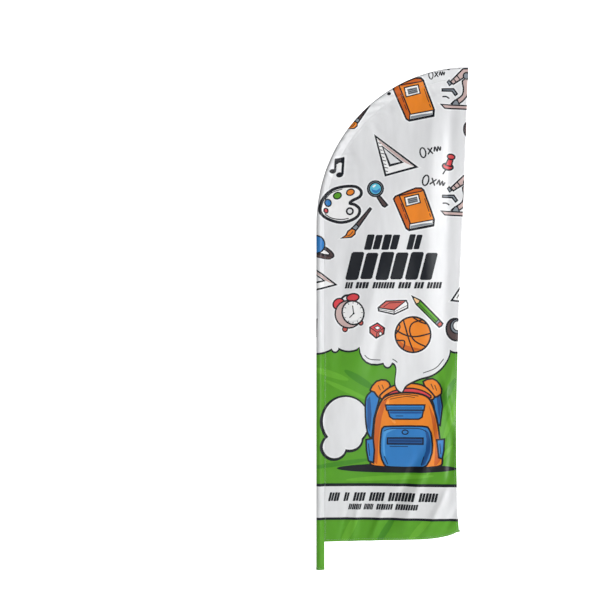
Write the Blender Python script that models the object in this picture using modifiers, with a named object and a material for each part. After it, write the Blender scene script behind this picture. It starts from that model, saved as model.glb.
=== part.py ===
"""Feather flag on a plug-together pole.

A printed polyester sail is sewn to a sleeve. A pole of three plug-together sections stands in the sleeve:
two straight aluminium tubes, and a fibreglass tip that bends over into a quarter ellipse and holds the
sail's curved head open. A plastic bush in the pole's foot fits over the spindle of a flag base, and turns
inside the pole, so that the flag can follow the wind. A strap inside the sleeve's tail grips the pole.

The frame: the origin is on the pole's axis at its foot, +Z is up the pole, +X is from the pole towards the
sail's free (fly) edge, and -Y is the printed front. Sizes are in metres.
"""

import math

import bmesh
import bpy
from mathutils import Vector

# ---------------------------------------------------------------- driving dimensions
GAP = 0.0003  # between two pieces that touch
PLUG_PLAY = 0.0004  # all round a section that plugs into the next one down

# The flag's outline, seen from the front.
FLAG_WIDTH = 0.760  # from the sleeve's leading edge to the top corner
FOOT_WIDTH = 0.715  # from the leading edge to the bottom corner
ARC_HEIGHT = 0.790  # of the curved head
LUFF_LENGTH = 1.5825  # the straight, sewn stretch beside the pole
TAIL_LENGTH = 0.140  # the sleeve's free end, below the sail
FLY_BOW = 0.0245  # how far the free edge is drawn in between its corners
FOOT_SLOPE = 0.018  # the bottom edge's even rise towards the corner
CORNER_LIFT = 0.035  # the bottom corner's extra rise, where the cloth curls
CORNER_TURN = 10  # how suddenly it rises there

# The cloth.
CLOTH = 0.0008  # one layer of sleeve or sail
FOLDED = 0.0020  # hems and seams, which are three layers
HEM_WIDTH = 0.012
SEAM_WIDTH = 0.008
SLEEVE_EASE = 0.004  # between the thickest tube and the sleeve, all round, wall included
SLEEVE_SLACK = 0.008  # how much wider than deep the sleeve is beside the straight pole
HEAD_SLEEVE_WIDTH = 0.055  # the sleeve at the tip, where it lies almost flat
HEAD_EASE = 0.0008  # between the rod's cap and the cloth round it, at its sides
SLEEVE_HANG = 0.0005  # how far the sleeve hangs forward on the pole
BILLOW = 0.024  # depth of the broad waves in the sail
WAVES = 1.15  # from the foot to the top
WAVE_SLANT = 0.35  # of a wave, across the sail
WAVE_START = 0.10  # of a wave, at the foot beside the pole
CALM_WIDTH = 0.45  # the share of the flag's width over which the pole holds the waves down
BELLY = 0.042  # how far the bottom corner swells forward
BELLY_PLACE = (0.92, 0.075)  # shares of the sail's width and height
BELLY_SPREAD = (0.42, 0.10)
CURL = 0.026  # how far the bottom edge turns back under the belly
CURL_HEIGHT = 0.055  # the curl's height above the bottom edge
CURL_START = 0.25  # the share of the width at which it sets in

# The pole.
LOWER_OD = 0.025
TUBE_WALL = 0.0015
LOWER_TOP = 0.900
PLUG_DEPTH = 0.110  # of one section in the next
BUTT_LENGTH = 0.200
BUTT_BELOW_BEND = 0.040
ROD_ROOT_D = 0.0104
ROD_TIP_D = 0.0055
COLLAR_HEIGHT = 0.014
COLLAR_WALL = 0.0024
FERRULE_HEIGHT = 0.008

# The foot.
PEG_BORE_D = 0.0122
PEG_BORE_DEPTH = 0.070
BUSH_OD = 0.0160
BUSH_LENGTH = 0.088
FLANGE = 0.003  # thickness of the bush's flange
HOUSING_LEDGE = 0.0790  # the clip rests on it
HOUSING_SHOULDER = 0.0840  # the lower tube stands on it
SPIGOT_TOP = 0.1400  # of the housing's upper end, inside the tube
CLIP_THICK = 0.0012
CLIP_DEPTH = 0.0010  # of its groove
CLIP_REACH = 0.35  # the share of the housing's ledge that it covers
CLIP_OPENING = math.radians(50)
RIVET_D = 0.0038
RIVET_HEAD_D = 0.0070
RIVET_HEAD = 0.0012
RIVET_REACH = 0.67  # the share of the spigot's wall that the rivet goes through
RIVET_HEIGHT = 0.098

# The tip.
CAP_WALL = 0.00095
CAP_LENGTH = 0.018
CAP_END = 0.004  # the solid end of the cap
CAP_ROUND = 0.0016
POCKET_STRETCHES = 2  # of the head's steps that the pocket lines

# The strap that grips the pole inside the tail.
STRAP = 0.0010
STRAP_HEIGHT = 0.020
STRAP_BOTTOM = 0.106
STRAP_LAP = math.radians(28)  # half of the overlap
STRAP_STEPS = 40
TAB_HEIGHT = 0.016
TAIL_HEM_HEIGHT = 0.012

# Fineness of the faceted surfaces.
ROUND_STEPS = 32
RIVET_STEPS = 16
CAP_STEPS = 20
NOSE_STEPS = 8
ARC_STEPS = 22
SAIL_COLUMNS = 14
LUFF_ROWS = 26
MERGE = 0.00001
SHARP = math.radians(40)  # edges sharper than this stay sharp
LUFF_CROWD = 1.6  # how much closer the sail's rows lie at the foot

# ---------------------------------------------------------------- worked out from those
LOWER_ID = LOWER_OD - 2 * TUBE_WALL
UPPER_OD = LOWER_ID - 2 * PLUG_PLAY
UPPER_ID = UPPER_OD - 2 * TUBE_WALL
BUTT_OD = UPPER_ID - 2 * PLUG_PLAY
BUTT_ID = ROD_ROOT_D + 2 * GAP
HOUSING_INNER = BUSH_OD / 2 + GAP
SPIGOT_OUTER = LOWER_ID / 2 - GAP
CLIP_OUTER = HOUSING_INNER + CLIP_REACH * (SPIGOT_OUTER - HOUSING_INNER)
SPIGOT_INNER = CLIP_OUTER + GAP

ARC_START = TAIL_LENGTH + LUFF_LENGTH
FLAG_TOP = ARC_START + ARC_HEIGHT
SLEEVE_DEPTH = LOWER_OD + 2 * SLEEVE_EASE
SLEEVE_WIDTH = SLEEVE_DEPTH + SLEEVE_SLACK
LEAD = SLEEVE_DEPTH / 2 + SLEEVE_HANG  # from the pole's axis to the leading edge
CORNER_X = FLAG_WIDTH - LEAD  # the arc's centre lies under the top corner
SEAM_START = SLEEVE_WIDTH + GAP
SAIL_START = SEAM_START + SEAM_WIDTH + GAP

UPPER_BOTTOM = LOWER_TOP - PLUG_DEPTH
BUTT_TOP = ARC_START - BUTT_BELOW_BEND
BUTT_BOTTOM = BUTT_TOP - BUTT_LENGTH
UPPER_TOP = BUTT_BOTTOM + PLUG_DEPTH

CAP_R = ROD_TIP_D / 2 + GAP + CAP_WALL
TIP_INSET = 2 * CLOTH + 2 * GAP + CAP_R  # from the outer edge to the rod's line at its end
HEAD_SLEEVE_DEPTH = 2 * (TIP_INSET + HEAD_EASE)
HEM_TOP = GAP + TAIL_HEM_HEIGHT

collection = bpy.data.collections.new("feather_flag")
cutters = bpy.data.collections.new("cutters")


# ---------------------------------------------------------------- materials
def material(name, colour, roughness, metallic=0.0):
    made = bpy.data.materials.new(name)
    made.use_nodes = True
    shader = made.node_tree.nodes["Principled BSDF"]
    shader.inputs["Base Color"].default_value = (*colour, 1)
    shader.inputs["Roughness"].default_value = roughness
    shader.inputs["Metallic"].default_value = metallic
    return made


ALUMINIUM = material("anodised_aluminium", (0.78, 0.79, 0.80), 0.35, 1.0)
STEEL = material("spring_steel", (0.55, 0.56, 0.58), 0.30, 1.0)
PLASTIC = material("black_acetal", (0.03, 0.03, 0.035), 0.45)
FIBREGLASS = material("white_fibreglass", (0.72, 0.73, 0.70), 0.40)
RUBBER = material("black_rubber", (0.02, 0.02, 0.02), 0.80)
WHITE_CLOTH = material("white_printed_polyester", (0.84, 0.84, 0.83), 0.55)
GREEN_CLOTH = material("green_printed_polyester", (0.16, 0.38, 0.06), 0.55)
WEBBING = material("black_webbing", (0.03, 0.03, 0.03), 0.85)


# ---------------------------------------------------------------- modelling helpers
def start_empty():
    for thing in list(bpy.data.objects):
        bpy.data.objects.remove(thing)
    for group in (collection, cutters):
        bpy.context.scene.collection.children.link(group)


def new_object(name, data, look):
    thing = bpy.data.objects.new(name, data)
    data.materials.append(look)
    collection.objects.link(thing)
    return thing


def smooth_round(mesh):
    mesh.shade_smooth()
    mesh.set_sharp_from_angle(angle=SHARP)


def turned(name, profile, look, steps=ROUND_STEPS):
    """A profile of (radius, height) points turned about Z. It runs down its outer side, and is closed
    unless it starts and ends on the axis."""
    mesh = bpy.data.meshes.new(name)
    last = len(profile) - 1
    edges = [(i, i + 1) for i in range(last)]
    if profile[0][0] > 0:
        edges.append((last, 0))
    mesh.from_pydata([(r, 0, z) for r, z in profile], edges, [])
    thing = new_object(name, mesh, look)
    screw = thing.modifiers.new("turn", "SCREW")
    screw.angle = 2 * math.pi
    screw.steps = screw.render_steps = steps
    screw.use_merge_vertices = True
    screw.merge_threshold = MERGE
    screw.use_smooth_shade = True
    return thing


def tube(name, outer_d, inner_d, bottom, top, look):
    outer, inner = outer_d / 2, inner_d / 2
    return turned(name, [(outer, top), (outer, bottom), (inner, bottom), (inner, top)], look)


def primitive(name, look=None):
    """The primitive just added, under its own name. Without a look it is a cutter."""
    thing = bpy.context.object
    thing.name = thing.data.name = name
    for group in thing.users_collection:
        group.objects.unlink(thing)
    if look:
        collection.objects.link(thing)
        thing.data.materials.append(look)
    else:
        cutters.objects.link(thing)
        thing.hide_render = True
        thing.display_type = "WIRE"
    return thing


def cut(thing, cutter):
    hole = thing.modifiers.new("hole", "BOOLEAN")
    hole.operation = "DIFFERENCE"
    hole.object = cutter


def surface(name, rows, look, thickness, offset, closed=False):
    """An open surface through rows of points, thickened. With closed, each row joins up into a ring."""
    mesh = bpy.data.meshes.new(name)
    count = len(rows[0])
    points = [p for row in rows for p in row]
    faces = []
    for i in range(len(rows) - 1):
        for j in range(count if closed else count - 1):
            a, b = i * count + j, i * count + (j + 1) % count
            faces.append((a, b, b + count, a + count))
    mesh.from_pydata(points, [], faces)
    thing = new_object(name, mesh, look)
    wall = thing.modifiers.new("wall", "SOLIDIFY")
    wall.thickness = thickness
    wall.offset = offset
    smooth_round(mesh)
    return thing


def smooth_step(t):
    t = min(max(t, 0.0), 1.0)
    return t * t * (3 - 2 * t)


def between(a, b, t):
    return a + (b - a) * t


# ---------------------------------------------------------------- the flag's form
def on_arc(turn, inset):
    """(x, z) of the point that lies inset inwards from the head's outer edge. turn runs from 0, at the
    start of the bend, to a right angle, at the top corner."""
    x, z = -FLAG_WIDTH * math.cos(turn), ARC_HEIGHT * math.sin(turn)
    out = Vector((x / FLAG_WIDTH**2, z / ARC_HEIGHT**2)).normalized()
    return CORNER_X + x - inset * out.x, ARC_START + z - inset * out.y


def toward_tip(turn, at_bend, at_tip):
    """A size that goes evenly from its value at the start of the bend to that at the tip."""
    return between(at_bend, at_tip, smooth_step(turn / (math.pi / 2)))


def sleeve_size(turn):
    """(width, depth) of the sleeve, which is nearly flat at the tip."""
    return toward_tip(turn, SLEEVE_WIDTH, HEAD_SLEEVE_WIDTH), toward_tip(turn, SLEEVE_DEPTH, HEAD_SLEEVE_DEPTH)


def rod_inset(turn):
    return toward_tip(turn, LEAD, TIP_INSET)


def sail_inset(turn):
    return sleeve_size(turn)[0] + SAIL_START - SLEEVE_WIDTH


def foot_rise(share):
    """Height of the bottom edge above the tail, at a share of the sail's width."""
    return FOOT_SLOPE * share + CORNER_LIFT * share**CORNER_TURN


CORNER_Z = TAIL_LENGTH + foot_rise(1)


def fly_edge(z):
    """x of the sail's free edge at this height."""
    t = min(max((z - CORNER_Z) / (FLAG_TOP - CORNER_Z), 0), 1)
    return between(FOOT_WIDTH, FLAG_WIDTH, t) - LEAD - FLY_BOW * math.sin(math.pi * math.sqrt(t))


def from_pole_side(x, z):
    """How far a point lies from the leading edge, or from the curved head's outer edge."""
    if z <= ARC_START:
        return x + LEAD
    return FLAG_WIDTH * (1 - math.hypot((x - CORNER_X) / FLAG_WIDTH, (z - ARC_START) / ARC_HEIGHT))


def billow(x, z):
    """y of the sail's middle surface. It is 0 along the seams, and less than 0 is forward."""
    free = max(from_pole_side(x, z) - HEAD_SLEEVE_WIDTH, 0) / FLAG_WIDTH
    share = (x + LEAD - SLEEVE_WIDTH) / (FOOT_WIDTH - SLEEVE_WIDTH)
    height = (z - TAIL_LENGTH) / (FLAG_TOP - TAIL_LENGTH)
    ease = smooth_step(free / CALM_WIDTH)
    wave = math.sin(2 * math.pi * (WAVES * height - WAVE_SLANT * share + WAVE_START))
    across = (share - BELLY_PLACE[0]) / BELLY_SPREAD[0]
    up = (height - BELLY_PLACE[1]) / BELLY_SPREAD[1]
    belly = math.exp(-across * across - up * up)
    above_foot = max(z - TAIL_LENGTH - foot_rise(min(max(share, 0), 1)), 0)
    turned_back = max(1 - above_foot / CURL_HEIGHT, 0) ** 2
    curl = turned_back * smooth_step((share - CURL_START) / (1 - CURL_START))
    return ease * (BILLOW * wave - BELLY * belly) + CURL * curl


def sleeve_ring(width, depth):
    """Points (inset, y) round the sleeve's outer face: two round noses joined by flat sides."""
    nose = depth / 2
    points = []
    for centre, start in ((nose, math.pi / 2), (width - nose, -math.pi / 2)):
        for i in range(NOSE_STEPS + 1):
            angle = start + math.pi * i / NOSE_STEPS
            points.append((centre + nose * math.cos(angle), nose * math.sin(angle)))
    return points


def straight_sleeve(name, bottom, top, thickness, look, grow=0.0):
    section = sleeve_ring(SLEEVE_WIDTH + 2 * grow, SLEEVE_DEPTH + 2 * grow)
    rows = [[(a - LEAD - grow, y, z) for a, y in section] for z in (bottom, top)]
    return surface(name, rows, look, thickness, -1, closed=True)


def arc_ring(turn, shrink=0.0):
    """The sleeve's outline at this turn of the head, taken in by shrink all round."""
    width, depth = sleeve_size(turn)
    points = []
    for a, y in sleeve_ring(width - 2 * shrink, depth - 2 * shrink):
        x, z = on_arc(turn, a + shrink)
        points.append((x, y, z))
    return points


def turn_short_of_corner(distance):
    """The turn at which the outer edge is about this far from the top corner."""
    return math.pi / 2 - distance / FLAG_WIDTH


def sail_room(turn):
    """Width left for the sail between the head's seam and the fly hem."""
    x, z = on_arc(turn, sail_inset(turn))
    return fly_edge(z) - HEM_WIDTH - GAP - x


def sail_end_turn():
    """The turn at which the sail has narrowed to half a hem's width."""
    low, high = 0.0, math.pi / 2
    for _ in range(40):
        middle = (low + high) / 2
        if sail_room(middle) > HEM_WIDTH / 2:
            low = middle
        else:
            high = middle
    return low


SAIL_END = sail_end_turn()
SAIL_TURNS = [SAIL_END * i / ARC_STEPS for i in range(ARC_STEPS + 1)]
HEAD_TURNS = [GAP / 2 / ARC_HEIGHT] + SAIL_TURNS[1:] + [math.pi / 2]
SHARES = [i / SAIL_COLUMNS for i in range(SAIL_COLUMNS + 1)]


def luff_height(step, share):
    """Height of the sail's row, from its bottom edge to the start of the head."""
    bottom = TAIL_LENGTH + foot_rise(share) + HEM_WIDTH + GAP
    return between(bottom, ARC_START, (step / LUFF_ROWS) ** LUFF_CROWD)


# ---------------------------------------------------------------- the pole's foot
def make_foot():
    bore, barrel = PEG_BORE_D / 2, BUSH_OD / 2
    clip_bottom = HOUSING_LEDGE + GAP
    clip_top = clip_bottom + CLIP_THICK
    groove = barrel - CLIP_DEPTH
    profile = [
        (0.0, BUSH_LENGTH),
        (barrel, BUSH_LENGTH),
        (barrel, clip_top + GAP),
        (groove, clip_top + GAP),
        (groove, clip_bottom - GAP),
        (barrel, clip_bottom - GAP),
        (barrel, FLANGE),
        (LOWER_OD / 2, FLANGE),
        (LOWER_OD / 2, 0.0),
        (bore, 0.0),
        (bore, PEG_BORE_DEPTH),
        (0.0, PEG_BORE_DEPTH),
    ]
    turned("peg_bush", profile, PLASTIC)

    seat = FLANGE + GAP
    housing = turned(
        "bush_housing",
        [
            (SPIGOT_OUTER, SPIGOT_TOP),
            (SPIGOT_OUTER, HOUSING_SHOULDER),
            (LOWER_OD / 2, HOUSING_SHOULDER),
            (LOWER_OD / 2, seat),
            (HOUSING_INNER, seat),
            (HOUSING_INNER, HOUSING_LEDGE),
            (SPIGOT_INNER, HOUSING_LEDGE),
            (SPIGOT_INNER, SPIGOT_TOP),
        ],
        PLASTIC,
    )
    make_clip(groove + GAP, CLIP_OUTER, clip_bottom, clip_top)
    return housing


def make_clip(inner, outer, bottom, top):
    """An open ring that snaps into the bush's groove and keeps the bush in its housing."""
    swept = 2 * math.pi - CLIP_OPENING
    rows = []
    for radius in (outer, inner):
        angles = [CLIP_OPENING / 2 + swept * i / ROUND_STEPS for i in range(ROUND_STEPS + 1)]
        rows.append([(radius * math.cos(angle), radius * math.sin(angle), top) for angle in angles])
    surface("bush_clip", rows, STEEL, top - bottom, -1)


def make_rivets(tube_part, housing):
    """Two blind rivets, front and back, hold the tube on the housing's spigot."""
    bpy.ops.mesh.primitive_cylinder_add(
        vertices=RIVET_STEPS,
        radius=RIVET_D / 2 + GAP,
        depth=2 * LOWER_OD,
        location=(0, 0, RIVET_HEIGHT),
        rotation=(math.pi / 2, 0, 0),
    )
    cutter = primitive("rivet_hole_cutter")
    cut(tube_part, cutter)
    cut(housing, cutter)

    outside = LOWER_OD / 2 + GAP
    shank = RIVET_D / 2
    deepest = between(SPIGOT_OUTER, SPIGOT_INNER, RIVET_REACH)
    profile = [
        (0.0, outside + RIVET_HEAD),
        (RIVET_HEAD_D / 4, outside + RIVET_HEAD),
        (RIVET_HEAD_D / 2, outside + RIVET_HEAD / 3),
        (RIVET_HEAD_D / 2, outside),
        (shank, outside),
        (shank, deepest),
        (0.0, deepest),
    ]
    for name, side in (("housing_rivet_front", 1), ("housing_rivet_back", -1)):
        rivet = turned(name, profile, ALUMINIUM, RIVET_STEPS)
        rivet.location = (0, 0, RIVET_HEIGHT)
        rivet.rotation_euler = (side * math.pi / 2, 0, 0)


# ---------------------------------------------------------------- the pole's sections
def make_pole():
    lower = tube("lower_tube", LOWER_OD, LOWER_ID, HOUSING_SHOULDER + GAP, LOWER_TOP, ALUMINIUM)
    tube("upper_tube", UPPER_OD, UPPER_ID, UPPER_BOTTOM, UPPER_TOP, ALUMINIUM)
    tube("tip_butt", BUTT_OD, BUTT_ID, BUTT_BOTTOM, BUTT_TOP, FIBREGLASS)
    for name, bore, rim in (
        ("upper_stop_collar", UPPER_OD, LOWER_TOP),
        ("tip_stop_collar", BUTT_OD, UPPER_TOP),
    ):
        inner = bore / 2 + GAP
        tube(name, 2 * (inner + COLLAR_WALL), 2 * inner, rim + GAP, rim + GAP + COLLAR_HEIGHT, PLASTIC)
    seat = BUTT_TOP + GAP
    tube("butt_ferrule", BUTT_OD, BUTT_ID, seat, seat + FERRULE_HEIGHT, PLASTIC)
    make_rod()
    return lower


def make_rod():
    """A solid rod that tapers all the way, straight in the butt and bent over the head."""
    last_turn = turn_short_of_corner(CAP_END + CLOTH + 2 * GAP)
    root = BUTT_BOTTOM + 2 * ROD_ROOT_D
    line = [(0, 0, root), (0, 0, BUTT_TOP + 2 * FERRULE_HEIGHT)]
    for turn in SAIL_TURNS + [last_turn]:
        x, z = on_arc(turn, rod_inset(turn))
        line.append((x, 0, z))
    line = [Vector(p) for p in line]
    length = [0.0]
    for a, b in zip(line, line[1:]):
        length.append(length[-1] + (b - a).length)

    curve = bpy.data.curves.new("tip_rod", "CURVE")
    curve.dimensions = "3D"
    curve.bevel_depth = ROD_ROOT_D / 2
    curve.bevel_resolution = 4
    curve.use_fill_caps = True
    spline = curve.splines.new("POLY")
    spline.points.add(len(line) - 1)
    for point, place, run in zip(spline.points, line, length):
        point.co = (*place, 1)
        point.radius = between(1, ROD_TIP_D / ROD_ROOT_D, max(run - length[1], 0) / (length[-1] - length[1]))
    new_object("tip_rod", curve, FIBREGLASS)
    make_tip_cap(line[-1], line[-1] - line[-2])


def make_tip_cap(end, direction):
    """A rubber thimble on the rod's end, whose mouth faces back along the rod."""
    inner = CAP_R - CAP_WALL
    mouth = CAP_END - CAP_LENGTH
    profile = [
        (0.0, CAP_END),
        (CAP_R - CAP_ROUND, CAP_END),
        (CAP_R - CAP_ROUND / 4, CAP_END - CAP_ROUND / 2),
        (CAP_R, CAP_END - CAP_ROUND),
        (CAP_R, mouth),
        (inner, mouth),
        (inner, GAP),
        (0.0, GAP),
    ]
    cap = turned("tip_cap", profile, RUBBER, CAP_STEPS)
    cap.location = end
    cap.rotation_mode = "QUATERNION"
    cap.rotation_quaternion = direction.to_track_quat("Z", "Y")


# ---------------------------------------------------------------- the flag's sleeve
def make_sleeve():
    straight_sleeve("pole_sleeve", TAIL_LENGTH + GAP, ARC_START - GAP / 2, CLOTH, WHITE_CLOTH)
    straight_sleeve("sleeve_tail", HEM_TOP + GAP, TAIL_LENGTH, CLOTH, GREEN_CLOTH)
    straight_sleeve("tail_hem", GAP, HEM_TOP, FOLDED, GREEN_CLOTH, grow=(FOLDED - CLOTH) / 2)

    rows = [arc_ring(turn) for turn in HEAD_TURNS]
    surface("arc_sleeve", rows, WHITE_CLOTH, CLOTH, -1, closed=True)
    make_tip_pocket()


def make_tip_pocket():
    """A lining that closes the sleeve's end and takes the rod's cap."""
    rows = [arc_ring(turn, CLOTH + GAP) for turn in HEAD_TURNS[-1 - POCKET_STRETCHES :]]
    pocket = surface("tip_pocket", rows, WEBBING, CLOTH, -1, closed=True)
    shape = bmesh.new()
    shape.from_mesh(pocket.data)
    shape.verts.ensure_lookup_table()
    count = len(rows[0])
    shape.faces.new(shape.verts[-count:])
    shape.to_mesh(pocket.data)
    shape.free()


def make_strap():
    """A hook-and-loop strap closed round the lower tube, and the tab that sews it to the tail."""
    inner_lap = LOWER_OD / 2 + GAP + STRAP / 2
    outer_lap = inner_lap + STRAP + GAP
    line = []
    for i in range(STRAP_STEPS + 1):
        angle = between(-STRAP_LAP, 2 * math.pi + STRAP_LAP, i / STRAP_STEPS)
        before_lap = 2 * math.pi - STRAP_LAP - angle
        climb = smooth_step(1 - before_lap / STRAP_LAP)
        radius = between(inner_lap, outer_lap, climb)
        line.append((radius * math.cos(angle), radius * math.sin(angle)))
    rows = [[(x, y, z) for x, y in line] for z in (STRAP_BOTTOM + STRAP_HEIGHT, STRAP_BOTTOM)]
    surface("cinch_strap", rows, WEBBING, STRAP, 0)

    near = outer_lap + STRAP / 2 + GAP
    far = SLEEVE_WIDTH - LEAD - CLOTH - GAP
    bpy.ops.mesh.primitive_cube_add(size=1, location=((near + far) / 2, 0, STRAP_BOTTOM + STRAP_HEIGHT / 2))
    tab = primitive("strap_tab", WEBBING)
    tab.scale = (far - near, STRAP, TAB_HEIGHT)
    bpy.ops.object.transform_apply(location=False, rotation=False, scale=True)


# ---------------------------------------------------------------- the sail
def on_cloth(x, z):
    return (x, billow(x, z), z)


def sail_row(heights):
    """Points across the sail, one for each share of its width, at these heights."""
    row = []
    for share, z in zip(SHARES, heights):
        left, right = SAIL_START - LEAD, fly_edge(z) - HEM_WIDTH - GAP
        row.append(on_cloth(between(left, right, share), z))
    return row


def make_sail():
    rows = []
    for step in range(LUFF_ROWS + 1):
        rows.append(sail_row([luff_height(step, share) for share in SHARES]))
    for turn in SAIL_TURNS[1:]:
        left, z = on_arc(turn, sail_inset(turn))
        room = sail_room(turn)
        rows.append([on_cloth(left + room * share, z) for share in SHARES])
    surface("sail", rows, WHITE_CLOTH, CLOTH, 0)


def make_seams():
    """The sleeve's edges sewn down on the sail, beside the straight pole and round the head."""
    start = SEAM_START - LEAD
    heights = (TAIL_LENGTH + GAP, ARC_START - GAP / 2)
    rows = [[(x, 0, z) for x in (start, start + SEAM_WIDTH)] for z in heights]
    surface("luff_seam", rows, WHITE_CLOTH, FOLDED, 0)
    rows = []
    for turn in HEAD_TURNS:
        start = sleeve_size(turn)[0] + GAP
        points = (on_arc(turn, start), on_arc(turn, start + SEAM_WIDTH))
        rows.append([(x, 0, z) for x, z in points])
    surface("arc_seam", rows, WHITE_CLOTH, FOLDED, 0)


def make_hems():
    """The sail's free edges, turned twice and sewn."""
    rows = []
    for above in (0, HEM_WIDTH):
        rows.append(sail_row([TAIL_LENGTH + foot_rise(share) + above for share in SHARES]))
    surface("foot_hem", rows, GREEN_CLOTH, FOLDED, 0)

    heights = [CORNER_Z] + [luff_height(step, 1) for step in range(LUFF_ROWS + 1)]
    heights += [on_arc(turn, sail_inset(turn))[1] for turn in SAIL_TURNS[1:]]
    rows = []
    for z in heights:
        edge = fly_edge(z)
        rows.append([on_cloth(x, z) for x in (edge - HEM_WIDTH, edge)])
    surface("fly_hem", rows, WHITE_CLOTH, FOLDED, 0)


start_empty()
housing_part = make_foot()
lower_part = make_pole()
make_rivets(lower_part, housing_part)
make_sleeve()
make_strap()
make_seams()
make_hems()
make_sail()
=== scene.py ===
"""Feather flag on a plug-together pole: the visual model.

The printed sail, its sleeve, seams, hems, stitches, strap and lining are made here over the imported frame.
The pole, its collars and its swivel foot keep their solids and get their finishes. Sizes are in metres.
"""

import math

import bmesh
import bpy
import numpy as np
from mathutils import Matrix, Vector
from mathutils.geometry import delaunay_2d_cdt


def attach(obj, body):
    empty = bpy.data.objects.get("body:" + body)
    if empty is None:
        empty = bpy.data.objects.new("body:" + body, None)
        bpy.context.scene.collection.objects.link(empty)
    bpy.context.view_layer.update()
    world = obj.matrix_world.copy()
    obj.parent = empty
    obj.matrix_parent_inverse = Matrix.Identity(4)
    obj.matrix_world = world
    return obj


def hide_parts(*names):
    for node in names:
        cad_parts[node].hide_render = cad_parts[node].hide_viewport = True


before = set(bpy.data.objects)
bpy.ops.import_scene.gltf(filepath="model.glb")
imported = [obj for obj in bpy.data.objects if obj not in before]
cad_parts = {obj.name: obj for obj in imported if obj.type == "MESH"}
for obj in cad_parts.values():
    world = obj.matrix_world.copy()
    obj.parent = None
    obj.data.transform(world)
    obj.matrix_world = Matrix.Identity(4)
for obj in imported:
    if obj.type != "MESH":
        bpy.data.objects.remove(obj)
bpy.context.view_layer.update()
scene = bpy.context.scene


# ================================================================ the camera
# A long lens a little over 8 m away, level with the middle of the flag and square to its printed front, so
# that the pole stands upright and the head isn't drawn in.
lens = bpy.data.cameras.new("front_view")
lens.lens = 100
lens.sensor_width = 36
camera = bpy.data.objects.new("front_view", lens)
camera.location = (-0.098, -8.333, 1.3485)
camera.rotation_euler = (math.pi / 2, 0, 0)
scene.collection.objects.link(camera)
scene.camera = camera


# ================================================================ the studio
# A white paper sweep under and behind the flag, three softboxes in front of it, and even light around.
SWEEP_REACH = 14.0  # to each side, forwards and up
BEND_START, BEND = 2.0, 2.5  # how far behind the flag the paper turns up, and the bend's radius
BEND_STEPS = 24


def smooth_step(t):
    t = min(max(t, 0.0), 1.0)
    return t * t * (3 - 2 * t)


def between(a, b, t):
    return a + (b - a) * t


def add(tree, kind, **inputs):
    """A new node, with its inputs set by their names, where _ stands for a space."""
    made = tree.nodes.new(kind)
    for name, value in inputs.items():
        made.inputs[name.replace("_", " ")].default_value = value
    return made


def wire(tree, source, out, target, into):
    tree.links.new(source.outputs[out], target.inputs[into])


def new_material(name, **surface):
    """A material, its node tree, and its main shader with these inputs."""
    made = bpy.data.materials.new(name)
    made.use_nodes = True
    shader = made.node_tree.nodes["Principled BSDF"]
    for socket, value in surface.items():
        shader.inputs[socket.replace("_", " ")].default_value = value
    return made, made.node_tree, shader


def make_paper():
    """It glows behind the flag, less and less in front of it, and looks plain white everywhere."""
    paper, tree, shader = new_material(
        "studio_paper",
        Base_Color=(0.93, 0.93, 0.93, 1),
        Roughness=0.9,
        Specular_IOR_Level=0.1,
        Emission_Color=(1, 1, 1, 1),
    )
    place = add(tree, "ShaderNodeTexCoord")
    parts = add(tree, "ShaderNodeSeparateXYZ")
    glow = add(tree, "ShaderNodeMapRange", From_Min=-1.5, From_Max=1.0, To_Min=0.04, To_Max=0.48)
    ray = add(tree, "ShaderNodeLightPath")
    white = add(tree, "ShaderNodeMath")
    white.operation = "MAXIMUM"
    wire(tree, place, "Object", parts, "Vector")
    wire(tree, parts, "Y", glow, "Value")
    wire(tree, glow, "Result", white, 0)
    wire(tree, ray, "Is Camera Ray", white, 1)
    wire(tree, white, "Value", shader, "Emission Strength")
    # it is clear from behind, so that the flag can be seen from there too
    side = add(tree, "ShaderNodeNewGeometry")
    clear = add(tree, "ShaderNodeBsdfTransparent")
    choice = add(tree, "ShaderNodeMixShader")
    wire(tree, side, "Backfacing", choice, "Fac")
    wire(tree, shader, "BSDF", choice, 1)
    wire(tree, clear, "BSDF", choice, 2)
    wire(tree, choice, "Shader", tree.nodes["Material Output"], "Surface")
    return paper


def make_sweep():
    profile = [(-SWEEP_REACH, 0.0), (BEND_START, 0.0)]
    for i in range(1, BEND_STEPS + 1):
        angle = math.pi / 2 * i / BEND_STEPS
        profile.append((BEND_START + BEND * math.sin(angle), BEND * (1 - math.cos(angle))))
    profile.append((BEND_START + BEND, SWEEP_REACH))
    points = [(x, y, z) for y, z in profile for x in (-SWEEP_REACH, SWEEP_REACH)]
    # facing upwards and forwards
    faces = [(2 * i, 2 * i + 1, 2 * i + 3, 2 * i + 2) for i in range(len(profile) - 1)]
    mesh = bpy.data.meshes.new("paper_sweep")
    mesh.from_pydata(points, [], faces)
    mesh.shade_smooth()
    mesh.materials.append(make_paper())
    sweep = bpy.data.objects.new("paper_sweep", mesh)
    scene.collection.objects.link(sweep)


def make_softbox(name, place, target, width, height, watts):
    light = bpy.data.lights.new(name, "AREA")
    light.shape = "RECTANGLE"
    light.size, light.size_y = width, height
    light.energy = watts
    box = bpy.data.objects.new(name, light)
    box.location = place
    box.visible_camera = False
    box.rotation_mode = "QUATERNION"
    box.rotation_quaternion = (Vector(target) - Vector(place)).to_track_quat("-Z", "Y")
    scene.collection.objects.link(box)


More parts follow.
